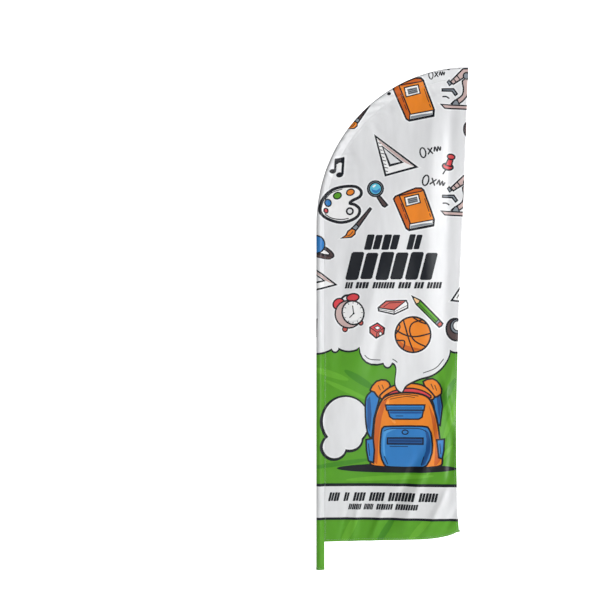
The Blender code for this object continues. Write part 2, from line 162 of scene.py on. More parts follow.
make_sweep()
make_softbox("key_softbox", (4.2, -3.9, 2.5), (0.3, 0, 1.7), 1.0, 2.8, 185)
make_softbox("fill_softbox", (-1.6, -6.0, 2.6), (0.3, 0, 1.2), 2.0, 2.4, 28)
make_softbox("low_softbox", (1.6, -3.4, 0.75), (0.6, 0, 0.22), 0.3, 0.8, 9)
surround = bpy.data.worlds.new("studio_air")
surround.use_nodes = True
air = surround.node_tree.nodes["Background"]
air.inputs["Color"].default_value = (1, 1, 1, 1)
ray = add(surround.node_tree, "ShaderNodeLightPath")
seen = add(surround.node_tree, "ShaderNodeMapRange", To_Min=0.165, To_Max=1.0)
wire(surround.node_tree, ray, "Is Camera Ray", seen, "Value")
wire(surround.node_tree, seen, "Result", air, "Strength")
scene.world = surround
scene.view_settings.view_transform = "Standard"


# ================================================================ the flag's cut and form
# A quarter ellipse on a long strip of knitted polyester. The straight edge carries the sleeve, which goes on
# round the head's curve. The sail hangs in broad, shallow waves, still at its seams and free at its edge.
FLAG_WIDTH = 0.760
FOOT_WIDTH = 0.715
ARC_HEIGHT = 0.790
TAIL_LENGTH = 0.140
ARC_START = 1.7225
FLAG_TOP = 2.5125
FLY_BOW = 0.0245
LEAD = 0.0170  # from the pole's axis to the leading edge
SLEEVE_WIDTH, SLEEVE_DEPTH = 0.0410, 0.0330
HEAD_SLEEVE_WIDTH, HEAD_SLEEVE_DEPTH = 0.0550, 0.0140
GAP = 0.0003
SEAM_WIDTH = 0.008
HEM_WIDTH = 0.012
CLOTH = 0.0006
FOLDED = 0.0019
CORNER_X = FLAG_WIDTH - LEAD
MEAN_RADIUS = (FLAG_WIDTH + ARC_HEIGHT) / 2


def on_arc(turn, inset):
    """(x, z) of the point that lies inset inwards from the head's outer edge. turn runs from 0, at the start
    of the bend, to a right angle, at the top corner."""
    x, z = -FLAG_WIDTH * math.cos(turn), ARC_HEIGHT * math.sin(turn)
    out = Vector((x / FLAG_WIDTH**2, z / ARC_HEIGHT**2)).normalized()
    return CORNER_X + x - inset * out.x, ARC_START + z - inset * out.y


def along_head(x, z):
    """(turn, inset) of a point near the head's outer edge, or beside the straight pole."""
    if z <= ARC_START:
        return 0.0, x + LEAD
    low, high = 0.0, math.pi / 2
    for _ in range(30):
        turn = (low + high) / 2
        ex, ez = CORNER_X - FLAG_WIDTH * math.cos(turn), ARC_START + ARC_HEIGHT * math.sin(turn)
        if (x - ex) * FLAG_WIDTH * math.sin(turn) + (z - ez) * ARC_HEIGHT * math.cos(turn) > 0:
            low = turn
        else:
            high = turn
    turn = (low + high) / 2
    ex, ez = on_arc(turn, 0)
    return turn, math.hypot(x - ex, z - ez)


def toward_tip(turn, at_bend, at_tip):
    return between(at_bend, at_tip, smooth_step(turn / (math.pi / 2)))


def sleeve_size(turn):
    """(width, depth) of the sleeve."""
    width = toward_tip(turn, SLEEVE_WIDTH, HEAD_SLEEVE_WIDTH)
    return width, toward_tip(turn, SLEEVE_DEPTH, HEAD_SLEEVE_DEPTH)


def seam_run(turn, z):
    """How far along the sleeve a point lies, from the ground up and on round the head."""
    return z if turn == 0 else ARC_START + turn * MEAN_RADIUS


def foot_rise(share):
    """Height of the sail's bottom edge above the tail, at a share of its width."""
    return 0.018 * share + 0.035 * share**10


CORNER_Z = TAIL_LENGTH + foot_rise(1)


def fly_edge(z):
    """x of the sail's free edge at this height."""
    t = min(max((z - CORNER_Z) / (FLAG_TOP - CORNER_Z), 0), 1)
    return between(FOOT_WIDTH, FLAG_WIDTH, t) - LEAD - FLY_BOW * math.sin(math.pi * math.sqrt(t))


def from_pole_side(x, z):
    """How far a point lies from the leading edge, roughly over the head. It is less than 0 outside."""
    if z <= ARC_START:
        return x + LEAD
    return FLAG_WIDTH * (1 - math.hypot((x - CORNER_X) / FLAG_WIDTH, (z - ARC_START) / ARC_HEIGHT))


def bell(t):
    return math.exp(-t * t)


def billow(x, z):
    """y of the sail's broad form. It is 0 along the seams, and less than 0 is forward."""
    free = max(from_pole_side(x, z) - HEAD_SLEEVE_WIDTH, 0) / FLAG_WIDTH
    share = (x + LEAD - SLEEVE_WIDTH) / (FOOT_WIDTH - SLEEVE_WIDTH)
    height = (z - TAIL_LENGTH) / (FLAG_TOP - TAIL_LENGTH)
    ease = smooth_step(free / 0.45)
    wave = math.sin(2 * math.pi * (1.15 * height - 0.35 * share + 0.10))
    across, up = (share - 0.92) / 0.42, (height - 0.075) / 0.10
    belly = math.exp(-across * across - up * up)
    above_foot = max(z - TAIL_LENGTH - foot_rise(min(max(share, 0), 1)), 0)
    turned_back = max(1 - above_foot / 0.055, 0) ** 2
    curl = turned_back * smooth_step((share - 0.25) / 0.75)
    return ease * (0.024 * wave - 0.042 * belly) + 0.026 * curl


def fold(x, z, start, end, width, depth, spread=1.0):
    """A soft crease between two points of the sail, forward where depth is more than 0. It fades at its
    ends, and spreads to spread times its width at its far end."""
    dx, dz = end[0] - start[0], end[1] - start[1]
    length = math.hypot(dx, dz)
    along = ((x - start[0]) * dx + (z - start[1]) * dz) / length**2
    if not -0.3 < along < 1.3:
        return 0.0
    off = ((x - start[0]) * dz - (z - start[1]) * dx) / length
    wide = width * between(1, spread, min(max(along, 0), 1))
    if abs(off) > 3 * wide:
        return 0.0
    ends = smooth_step((along + 0.3) / 0.6) * smooth_step((1.3 - along) / 0.6)
    return -depth * ends * bell(off / wide)


FOLDS = [
    # from, to, width, depth, spread
    ((0.560, 2.25), (0.530, 1.10), 0.040, 0.0110, 1.2),
    ((0.660, 2.35), (0.625, 1.05), 0.028, -0.0110, 1.3),
    ((0.690, 2.47), (0.500, 2.38), 0.030, -0.0060, 1.3),
    ((0.290, 2.38), (0.430, 2.25), 0.015, 0.0060, 1.6),
    ((0.210, 2.30), (0.330, 2.14), 0.014, -0.0050, 1.6),
    ((0.120, 2.17), (0.240, 2.00), 0.014, 0.0045, 1.8),
    ((0.130, 1.60), (0.100, 1.05), 0.030, -0.0060, 1.0),
    ((0.280, 1.45), (0.200, 1.05), 0.035, 0.0085, 1.2),
    ((0.340, 1.30), (0.250, 1.00), 0.020, -0.0060, 1.2),
    ((0.660, 1.00), (0.560, 0.55), 0.022, 0.0110, 1.4),
    ((0.690, 0.88), (0.640, 0.40), 0.016, -0.0095, 1.4),
    ((0.620, 0.95), (0.690, 0.60), 0.016, 0.0080, 1.0),
    ((0.560, 0.62), (0.420, 0.22), 0.022, 0.0110, 1.3),
    ((0.480, 0.55), (0.330, 0.20), 0.018, -0.0080, 1.3),
    ((0.640, 0.42), (0.520, 0.17), 0.017, 0.0100, 1.3),
    ((0.690, 0.34), (0.610, 0.17), 0.015, -0.0080, 1.3),
    ((0.330, 0.34), (0.250, 0.14), 0.015, 0.0085, 1.3),
    ((0.200, 0.36), (0.160, 0.14), 0.014, 0.0075, 1.3),
    ((0.140, 0.30), (0.100, 0.14), 0.012, -0.0055, 1.2),
]


def sail_y(x, z):
    """y of the sail: its broad form, its folds, and the gathers that the curved seam puts in it."""
    y = billow(x, z)
    turn, inset = along_head(x, z) if z > ARC_START else (0.0, x + LEAD)
    width = sleeve_size(turn)[0] + SEAM_WIDTH
    rest = smooth_step((inset - width) / 0.05)
    y += rest * sum(fold(x, z, *each) for each in FOLDS)
    if turn > 0:
        run = turn * MEAN_RADIUS
        beyond = inset - width
        wave = math.sin(2 * math.pi * (run - 0.35 * inset) / 0.052 + 1.8 * math.sin(run / 0.083))
        near_seam = bell((beyond - 0.020) / 0.045) * smooth_step(beyond / 0.015)
        y += 0.0018 * wave * (0.6 + 0.4 * math.sin(run / 0.047)) * near_seam * smooth_step(turn / 0.3)
    return y


# ================================================================ the printed design
# Dye-sublimation print, which goes right through the cloth and shows paler on the reverse. It holds plain
# school things: each is drawn here in centimetres about its own middle, then placed on the flag.
def ink(red, green, blue):
    """A colour mixed as on a screen, 0 to 255, as the linear values that a shader takes."""
    return tuple(c / 3294.6 if c <= 10.3 else ((c / 255 + 0.055) / 1.055) ** 2.4 for c in (red, green, blue))


NAVY = ink(5, 12, 24)
CLOTH_WHITE = ink(233, 234, 236)
HALO = ink(243, 244, 246)
PAPER = ink(250, 250, 250)
GREEN = ink(88, 162, 32)
# The darker green is painted shade in the green ground's strokes. The paler green is painted highlight there,
# and the pencil's pale stripe in the print.
GREEN_PAINTED_SHADE = ink(68, 142, 28)
GREEN_PALE_AND_PAINTED_HIGHLIGHT = ink(104, 178, 44)
ORANGE = ink(240, 136, 34)
ORANGE_DARK = ink(206, 98, 26)
ORANGE_LIGHT = ink(250, 160, 70)
BLUE = ink(48, 128, 200)
BLUE_DARK = ink(26, 84, 150)
BLUE_LIGHT = ink(78, 158, 222)
CYAN = ink(96, 200, 228)
RED = ink(220, 66, 74)
SALMON = ink(206, 92, 82)
PINKISH = ink(206, 180, 176)
BROWN = ink(84, 66, 66)
GREY = ink(138, 146, 154)

PEN = 1.45  # how much bolder every inked line is than its drawing says
# Besides the print, it holds the painted highlight and painted shade strokes in the green ground.
PRINT = []  # (outline in metres, colour), from the lowest layer of the print to the top one


def curve_at(p, q, r, s, t):
    """The soft line through p, q, r and s, at t of the way from q to r."""
    return 0.5 * (2 * q + (r - p) * t + (2 * p - 5 * q + 4 * r - s) * t * t + (3 * q - p - 3 * r + s) * t**3)


def smooth(points, closed=False, steps=4):
    """A soft line through the points."""
    count = len(points)
    made = []
    for i in range(count if closed else count - 1):
        if closed:
            a, b, c, d = (points[(i + k) % count] for k in (-1, 0, 1, 2))
        else:
            b, c = points[i], points[i + 1]
            a = points[i - 1] if i else b
            d = points[i + 2] if i + 2 < count else c
        for k in range(steps):
            made.append(tuple(curve_at(p, q, r, s, k / steps) for p, q, r, s in zip(a, b, c, d)))
    if not closed:
        made.append(points[-1])
    return made


def bulged(points, steps=6):
    """A line of arcs. Each point is (x, z, bulge): the arc to the next one bulges to the right of its way
    by that share of its length."""
    made = []
    for (x, z, bulge), (nx, nz, _) in zip(points, points[1:]):
        for k in range(steps):
            t = k / steps
            out = bulge * 4 * t * (1 - t)
            made.append((between(x, nx, t) + (nz - z) * out, between(z, nz, t) - (nx - x) * out))
    return made + [points[-1][:2]]


def disc(x, z, rx, rz=None, tilt=0.0, steps=20, start=0.0, sweep=360.0):
    rz = rz or rx
    turn = math.radians(tilt)
    made = []
    for i in range(steps if sweep == 360 else steps + 1):
        angle = math.radians(start + sweep * i / steps)
        a, b = rx * math.cos(angle), rz * math.sin(angle)
        across, up = a * math.cos(turn) - b * math.sin(turn), a * math.sin(turn) + b * math.cos(turn)
        made.append((x + across, z + up))
    return made


def grown(points, by):
    """A closed outline moved outwards by this much."""
    if sum(a[0] * b[1] - b[0] * a[1] for a, b in zip(points, points[1:] + points[:1])) < 0:
        points = points[::-1]
    made = []
    for a, b, c in zip(points[-1:] + points[:-1], points, points[1:] + points[:1]):
        one, two = Vector((b[1] - a[1], a[0] - b[0])), Vector((c[1] - b[1], b[0] - c[0]))
        if one.length < 1e-9 or two.length < 1e-9:
            continue
        one.normalize()
        two.normalize()
        corner = one + two
        if corner.length < 1e-6:
            continue
        corner *= min(2 / corner.length_squared, 2.2 / corner.length) * by
        made.append((b[0] + corner[0], b[1] + corner[1]))
    return made


def stroke(points, width=0.5, colour=NAVY, end_width=None, pen=PEN):
    """An inked line with round ends."""
    end_width = width if end_width is None else end_width
    left, right = [], []
    last = len(points) - 1
    for i, (x, z) in enumerate(points):
        a, b = points[max(i - 1, 0)], points[min(i + 1, last)]
        way = Vector((b[0] - a[0], b[1] - a[1])).normalized()
        half = between(width, end_width, i / last) / 2 * pen
        left.append((x - way[1] * half, z + way[0] * half))
        right.append((x + way[1] * half, z - way[0] * half))
        if i in (0, last):
            nose = (x + way[0] * half * (1 if i else -1), z + way[1] * half * (1 if i else -1))
            first, final = (nose, nose) if not i else (first, nose)
    return [(1, [first] + left + [final] + right[::-1], colour)]


def filled(points, colour, line=0.6, halo=0.7):
    """A coloured shape with an inked outline, and a pale margin round it."""
    half = line / 2 * PEN
    made = [(1, grown(points, half), NAVY), (1, grown(points, -half), colour)]
    if halo:
        made.append((0, grown(points, half + halo), HALO))
    return made


def patch(points, colour):
    return [(1, points, colour)]


def stamp(x, z, drawing, size=1.0, tilt=0.0):
    """Prints a drawing, given in centimetres, about this place on the flag."""
    turn = math.radians(tilt)
    scale = size / 100
    for layer in (0, 1):
        for level, points, colour in drawing:
            if level == layer:
                place = [
                    (
                        x + scale * (a * math.cos(turn) - b * math.sin(turn)),
                        z + scale * (a * math.sin(turn) + b * math.cos(turn)),
                    )
                    for a, b in points
                ]
                PRINT.append((place, colour))


def band(bottom, top, colour):
    PRINT.append(([(-0.2, bottom), (0.9, bottom), (0.9, top), (-0.2, top)], colour))


def word(start, end, bottom, height, blocks, slant=0.24):
    """A run of plain slanted blocks, where such flags have lettering."""
    lean = slant * height
    pitch = (end - start - lean) / blocks
    for i in range(blocks):
        left = start + pitch * i
        right = left + pitch * (0.86, 0.80, 0.88, 0.83)[i % 4]
        low = bottom + height * (0, 0.03, 0, 0.02, 0.01)[i % 5]
        high = bottom + height * (1, 0.97, 1, 0.98)[i % 4]
        soft = min(0.12 * (right - left), 0.06 * height)
        corners = [
            (left + soft, low),
            (right - soft, low),
            (right + slant * soft, low + soft),
            (right + lean - slant * soft, high - soft),
            (right + lean - soft, high),
            (left + lean + soft, high),
            (left + lean - slant * soft, high - soft),
            (left + slant * soft, low + soft),
        ]
        PRINT.append((corners, NAVY))


def notebook():
    cover = [
        (-10, 5.4), (-9.1, 6.7), (-3, 9.3), (1, 10.8), (3.7, 10.8), (4.9, 9.8), (10.2, -4.8), (9.9, -7.9),
        (-2.2, -10.2), (-3.7, -9.2)
    ]
    made = filled(cover, ORANGE)
    edge = [(-9.6, 5.3), (-8.8, 6.2), (-7.0, 6.9), (-1.4, -7.0), (-2.4, -9.6), (-3.3, -8.9)]
    made += patch(edge, ORANGE_DARK)
    made += patch([(-6.6, 7.2), (0.9, 10.4), (3.6, 10.4), (4.4, 9.7), (3.2, 9.0), (-5.8, 6.6)], ORANGE_DARK)
    made += stroke([(-7.2, 7.1), (-4.4, 0.3), (-1.5, -7.2)], 0.45)
    made += stroke([(-7.2, 7.1), (-2, 8.2), (3.6, 9.2), (4.6, 9.8)], 0.35)
    made += filled([(-1.9, -7.0), (9.7, -4.9), (9.6, -7.4), (-2.1, -9.7)], PAPER, 0.4, 0)
    made += patch([(-1.4, -7.9), (4.0, -6.9), (9.2, -6.4), (9.2, -7.1), (-1.7, -9.2)], GREY)
    made += filled([(-4.6, 6.2), (2.3, 7.8), (3.3, 3.6), (-3.7, 1.8)], PAPER, 0.4, 0)
    made += patch([(-3.2, 5.6), (1.6, 6.7), (2.2, 4.0), (-2.6, 2.9)], GREY)
    for level in (0.2, 0.5, 0.8):
        z = between(2.9, 5.6, level)
        made += stroke([(between(-2.5, -3.1, level), z), (between(2.0, 1.5, level), z + 1.1)], 0.22)
    made += stroke([(5.4, 5.6), (6.4, 2.6), (7.6, -0.9)], 0.28)
    made += stroke([(7.9, -1.9), (8.4, -3.4)], 0.28)
    made += stroke([(-6.4, 3.2), (-4.9, -0.8)], 0.25)
    return made + stroke([(-4.5, -2.2), (-3.6, -4.6)], 0.25)


def set_square():
    made = filled([(-8.1, 11.7), (11.7, -3.5), (-3.2, -7.5)], PAPER, 0.7)
    made += patch([(-7.2, 10.4), (10.6, -3.4), (5.6, -1.1), (-4.8, 7.4)], PINKISH)
    made += filled([(-4.6, 6.5), (4.8, -1.2), (-1.2, -2.9)], CLOTH_WHITE, 0.55, 0)
    made += stroke([(-3.1, 3.0), (-0.9, -2.2), (3.4, -1.3)], 0.3)
    for i in range(9):
        x, z = between(-6.6, -3.1, i / 8), between(8.4, -5.4, i / 8)
        made += stroke([(x, z), (x + (1.5 if i % 2 else 1.0), z - 0.3)], 0.26)
    return made


def doodles():
    """A circle, a cross and a wave."""
    made = stroke(disc(-3.8, -0.3, 1.4, 2.5, steps=14, start=40, sweep=350), 0.5)
    made += stroke([(-1.4, -1.5), (1.0, 1.3)], 0.5) + stroke([(-1.1, 1.4), (0.9, -1.6)], 0.5)
    edge = [(1.8, -0.6), (2.5, 1.5), (3.3, -0.9), (4.1, 1.4), (4.8, -0.7), (5.4, 1.0)]
    return made + stroke(smooth(edge), 0.5)


def push_pin():
    made = stroke([(-1.0, -3.0), (-2.5, -5.4)], 0.5)
    made += filled(disc(-0.1, -1.7, 2.7, 1.6, -12), RED)
    made += filled([(-1.2, -0.9), (1.7, -1.6), (2.7, 2.4), (0.4, 2.8)], RED, 0.5)
    made += filled(disc(1.6, 3.2, 1.9, 1.3, -12), RED, 0.5)
    return made + patch(disc(1.2, 3.5, 0.7, 0.4, -12, 10), SALMON)


def magnifier():
    made = filled([(1.5, -3.3), (2.7, -4.2), (6.0, -8.2), (4.6, -9.2), (3.5, -8.6), (0.9, -4.5)], BROWN, 0.5)
    made += filled(disc(0, 0, 3.9), GREY, 0.5)
    made += filled(disc(0, 0, 3.0), CYAN, 0.45, 0)
    edge = [(-2.2, 0.2), (-1.4, -1.7), (0.3, -2.4), (2.2, -1.2), (2.4, 0.4), (0.6, -0.9), (-1.0, -0.6)]
    made += patch(edge, BLUE)
    return made + patch([(-1.6, 1.2), (-0.2, 2.1), (0.4, 1.7), (-0.9, 0.5)], PAPER)


def music_note():
    made = [(0, grown([(-4.4, -3.6), (-1.6, -5.9), (2.4, -4.6), (3.2, 4.6), (-1.4, 3.6)], 1.0), HALO)]
    made += patch([(-1.5, 3.5), (3.0, 4.6), (2.8, 1.7), (-1.4, 0.8)], NAVY)
    made += stroke([(-1.2, 3.2), (-1.7, -2.7)], 0.75) + stroke([(2.5, 4.0), (2.0, -4.0)], 0.85)
    made += patch(disc(-2.8, -2.7, 1.6, 1.1, 10, 14), NAVY) + patch(disc(0.6, -4.4, 1.8, 1.3, 10, 14), NAVY)
    return made + patch([(0.0, 1.5), (1.4, 1.8), (1.2, -1.4), (-0.3, -1.6)], PAPER)


def palette():
    edge = [
        (-10, -1.9), (-8.1, 3.5), (-4.2, 7.3), (1.5, 9), (7.6, 9), (10.4, 6.6), (9.6, 3.9), (5.9, 2.0),
        (4.8, 0.6), (7.3, -0.1), (9.6, -2.4), (8.6, -5.8), (4.6, -8.1), (-0.2, -8.9), (-5.4, -7.5),
        (-9.0, -5.2)
    ]
    made = filled(smooth(edge, True, 3), PAPER, 1.0)
    made += stroke(smooth([(-7.8, -4.6), (-4.6, -6.6), (0.2, -7.4), (4.0, -6.9)]), 0.35)
    made += stroke(smooth([(-7.6, 2.6), (-4.4, 6.0), (0.8, 7.7)]), 0.3)
    for x, z, rx, rz, colour in (
        (-1.5, 4.5, 2.0, 1.6, GREEN), (5.0, 6.2, 2.0, 1.5, ORANGE), (-6.2, 0.9, 1.6, 1.8, BLUE),
        (-7.2, -3.0, 1.0, 1.2, RED)
    ):
        made += filled(disc(x, z, rx, rz, 20, 14), colour, 0.45, 0)
    return made + filled(disc(4.7, -3.3, 1.6, 1.6, 0, 14), CLOTH_WHITE, 0.6, 0)


def paint_brush():
    made = filled([(6.6, 7.6), (7.3, 7.0), (0.3, -2.9), (-1.5, -1.7)], BROWN, 0.5)
    made += filled([(-0.2, -0.6), (1.0, -1.8), (-0.4, -3.8), (-2.4, -2.4)], GREY, 0.45)
    tip = [(-0.6, -3.5), (-0.8, -5.4), (-2.6, -7.0), (-7.6, -7.5), (-5.3, -6.1), (-4.4, -4.1), (-2.4, -2.7)]
    made += filled(tip, ORANGE, 0.5)
    return made + stroke([(-1.9, -4.2), (-3.2, -5.8), (-4.6, -6.4)], 0.28)


def microscope():
    edge = [
        (6.6, 5.6), (7.6, 1.0), (6.2, -3.4), (2.0, -7.2), (-1.4, -6.8), (1.2, -4.8), (4.0, -2.6), (4.6, 1.0),
        (4.0, 4.4)
    ]
    made = filled(smooth(edge, True, 2), PINKISH, 0.5)
    edge = [(-6.0, 0.5), (-0.3, 0.6), (1.5, -2.0), (0.5, -2.8), (-1.1, -0.6), (-6.0, -0.5)]
    made += filled(edge, GREY, 0.5)
    made += filled([(-1.9, 4.2), (-0.5, 2.8), (6.8, 7.4), (7.4, 10.2), (4.4, 10.2)], PINKISH, 0.5)
    made += stroke([(1.0, 3.9), (-0.5, 5.6)], 0.4) + stroke([(2.9, 5.1), (1.2, 7.2)], 0.4)
    made += filled([(-2.6, 4.9), (-1.3, 3.0), (-2.4, 2.2), (-3.5, 3.9)], GREY, 0.4)
    made += filled(disc(6.0, 6.9, 1.5), GREY, 0.45, 0)
    made += filled([(-6.6, -7.3), (-4.8, -9.2), (7.6, -9.9), (7.6, -8.1)], PINKISH, 0.5)
    made += filled([(0.2, -5.2), (-1.4, -7.6), (2.6, -7.8), (1.6, -5.2)], GREY, 0.4, 0)
    return made + stroke(smooth([(-5.8, -3.4), (-4.0, -3.4), (-2.6, -4.2)]), 0.5)


def planet():
    ring = disc(0.3, -2.4, 9.4, 3.0, -22, 28)
    made = filled(ring, BROWN, 0.5)
    made += filled(disc(0.6, -2.3, 6.9, 1.4, -22, 24), PAPER, 0.4, 0)
    made += filled(disc(0, 0, 4.6), BLUE, 0.5, 0)
    made += patch([(-3.8, 0.8), (-2.2, 2.8), (0.6, 3.6), (-0.8, 1.6), (-1.0, -1.0), (-3.2, -1.4)], BLUE_DARK)
    front = disc(0.3, -2.4, 9.0, 2.7, -22, 16, 195, 140)
    return made + stroke(front, 1.3, NAVY) + stroke(front, 0.8, BROWN)


def alarm_clock():
    made = filled(disc(-3.2, -8.0, 1.2, 1.3, 0, 12), SALMON, 0.4)
    made += filled(disc(4.7, -4.8, 1.1, 1.2, 0, 12), SALMON, 0.4)
    made += stroke(smooth([(-5.6, 6.6), (-3.4, 8.6), (-1.2, 8.9), (-0.4, 8.4)]), 0.7)
    made += filled(disc(-6.3, 4.6, 3.0, 2.6, 35), RED, 0.5) + filled(disc(0.7, 7.8, 3.1, 1.9, 8), RED, 0.5)
    made += filled(disc(-1.5, -0.6, 6.6, 6.9, 20), PINKISH, 0.5)
    made += filled(disc(0.8, 0.2, 5.4, 6.0, 20), PAPER, 0.55, 0)
    edge = [(-2.6, -3.6), (-0.6, -5.0), (3.0, -4.4), (4.8, -1.6), (2.4, -3.4), (-0.4, -3.9)]
    made += patch(edge, CLOTH_WHITE)
    made += stroke([(1.1, -0.2), (0.6, 3.6)], 0.35)
    made += stroke([(1.1, -0.2), (-0.9, -2.2)], 0.35)
    made += patch(disc(1.1, -0.2, 0.5, 0.5, 0, 10), NAVY)
    for angle in range(0, 360, 30):
        turn = math.radians(angle)
        inner = (0.8 + 4.2 * math.cos(turn), 0.2 + 4.7 * math.sin(turn))
        outer = (0.8 + 4.8 * math.cos(turn), 0.2 + 5.3 * math.sin(turn))
        made += stroke([inner, outer], 0.22)
    return made


def closed_book():
    edge = [(-7.3, 0.5), (-3.4, 3.8), (6.6, 4.1), (7.5, 2.6), (7.5, 0.4), (0.7, -2.8), (-7.1, -1.0)]
    made = filled(edge, PAPER, 0.5)
    made += filled([(-7.3, 0.5), (-3.4, 3.8), (6.7, 4.1), (0.6, -0.7)], SALMON, 0.45, 0)
    made += stroke([(-4.6, 0.9), (-1.8, 2.9), (4.3, 3.2)], 0.25)
    made += stroke([(0.7, -0.7), (0.7, -2.6)], 0.35)
    return made + stroke([(1.2, -1.4), (7.0, 1.5)], 0.22) + stroke([(-6.9, -0.3), (0.5, -1.7)], 0.22)


def pencil():
    edge = [
        (-10.6, 0), (-6.2, 1.4), (7.2, 1.4), (10.2, 1.3), (10.6, 0), (10.2, -1.3), (7.2, -1.4), (-6.2, -1.4)
    ]
    made = filled(edge, GREEN, 0.5)
    made += filled([(-10.6, 0), (-6.2, 1.3), (-5.7, 0), (-6.2, -1.3)], ink(250, 206, 150), 0.35, 0)
    made += patch([(-10.6, 0), (-9.0, 0.5), (-9.0, -0.5)], NAVY)
    made += patch([(-5.4, 0.9), (7.0, 0.9), (7.0, 0.3), (-5.4, 0.3)], GREEN_PALE_AND_PAINTED_HIGHLIGHT)
    made += stroke([(-5.4, -0.4), (7.0, -0.4)], 0.22)
    made += filled([(7.2, 1.25), (8.5, 1.25), (8.5, -1.25), (7.2, -1.25)], GREY, 0.35, 0)
    return made + filled([(8.5, 1.2), (10.2, 1.1), (10.5, 0), (10.2, -1.1), (8.5, -1.2)], SALMON, 0.35, 0)


def sharpener():
    made = filled([(-3.6, 1.6), (0.2, 3.7), (3.8, 1.2), (3.4, -1.7), (-0.4, -3.8), (-3.5, -1.1)], SALMON, 0.5)
    made += patch([(-3.2, 1.5), (0.2, 3.3), (3.3, 1.2), (0.1, -0.9)], RED)
    made += stroke([(-3.5, 1.5), (0.1, -0.9), (3.6, 1.2)], 0.35) + stroke([(0.1, -0.9), (-0.3, -3.5)], 0.35)
    made += filled([(-1.4, 1.4), (0.4, 2.3), (1.9, 1.2), (0.2, 0.3)], PAPER, 0.3, 0)
    return made + filled(disc(1.8, -1.6, 0.8, 0.9, 0, 12), PAPER, 0.3, 0)


def basketball():
    made = filled(disc(0, 0, 8.9, steps=36), ORANGE, 0.6)
    edge = [(-8.0, -1.6), (-6.2, -5.8), (-1.6, -8.2), (4.0, -7.4), (0.6, -6.4), (-4.6, -4.8)]
    made += patch(smooth(edge, True, 3), ORANGE_DARK)
    for line in (
        [(-8.5, 2.2), (-3.8, -0.2), (1.6, -1.0), (8.6, 0.6)],
        [(-4.8, 7.2), (-3.6, 3.0), (-1.8, -3.0), (0.4, -8.6)],
        [(-8.2, -3.0), (-4.6, -3.0), (-4.2, -5.0), (-5.0, -7.0)],
        [(4.6, 7.4), (-0.4, 5.6), (-1.6, 1.4), (1.0, -3.2), (6.4, -6.0)],
        [(0.0, 8.7), (3.2, 6.6), (6.6, 5.4)],
        [(-8.6, 0.4), (-6.6, 3.4), (-6.9, 5.2)],
    ):
        made += stroke(smooth(line), 0.5)
    return made


def tape_roll():
    made = filled(disc(0.6, -0.6, 4.6, 5.6, 10), BROWN, 0.6)
    made += filled(disc(1.4, 1.0, 3.4, 3.6, 10), GREY, 0.5, 0)
    return made + filled(disc(1.6, 1.3, 2.3, 2.5, 10), PAPER, 0.4, 0)


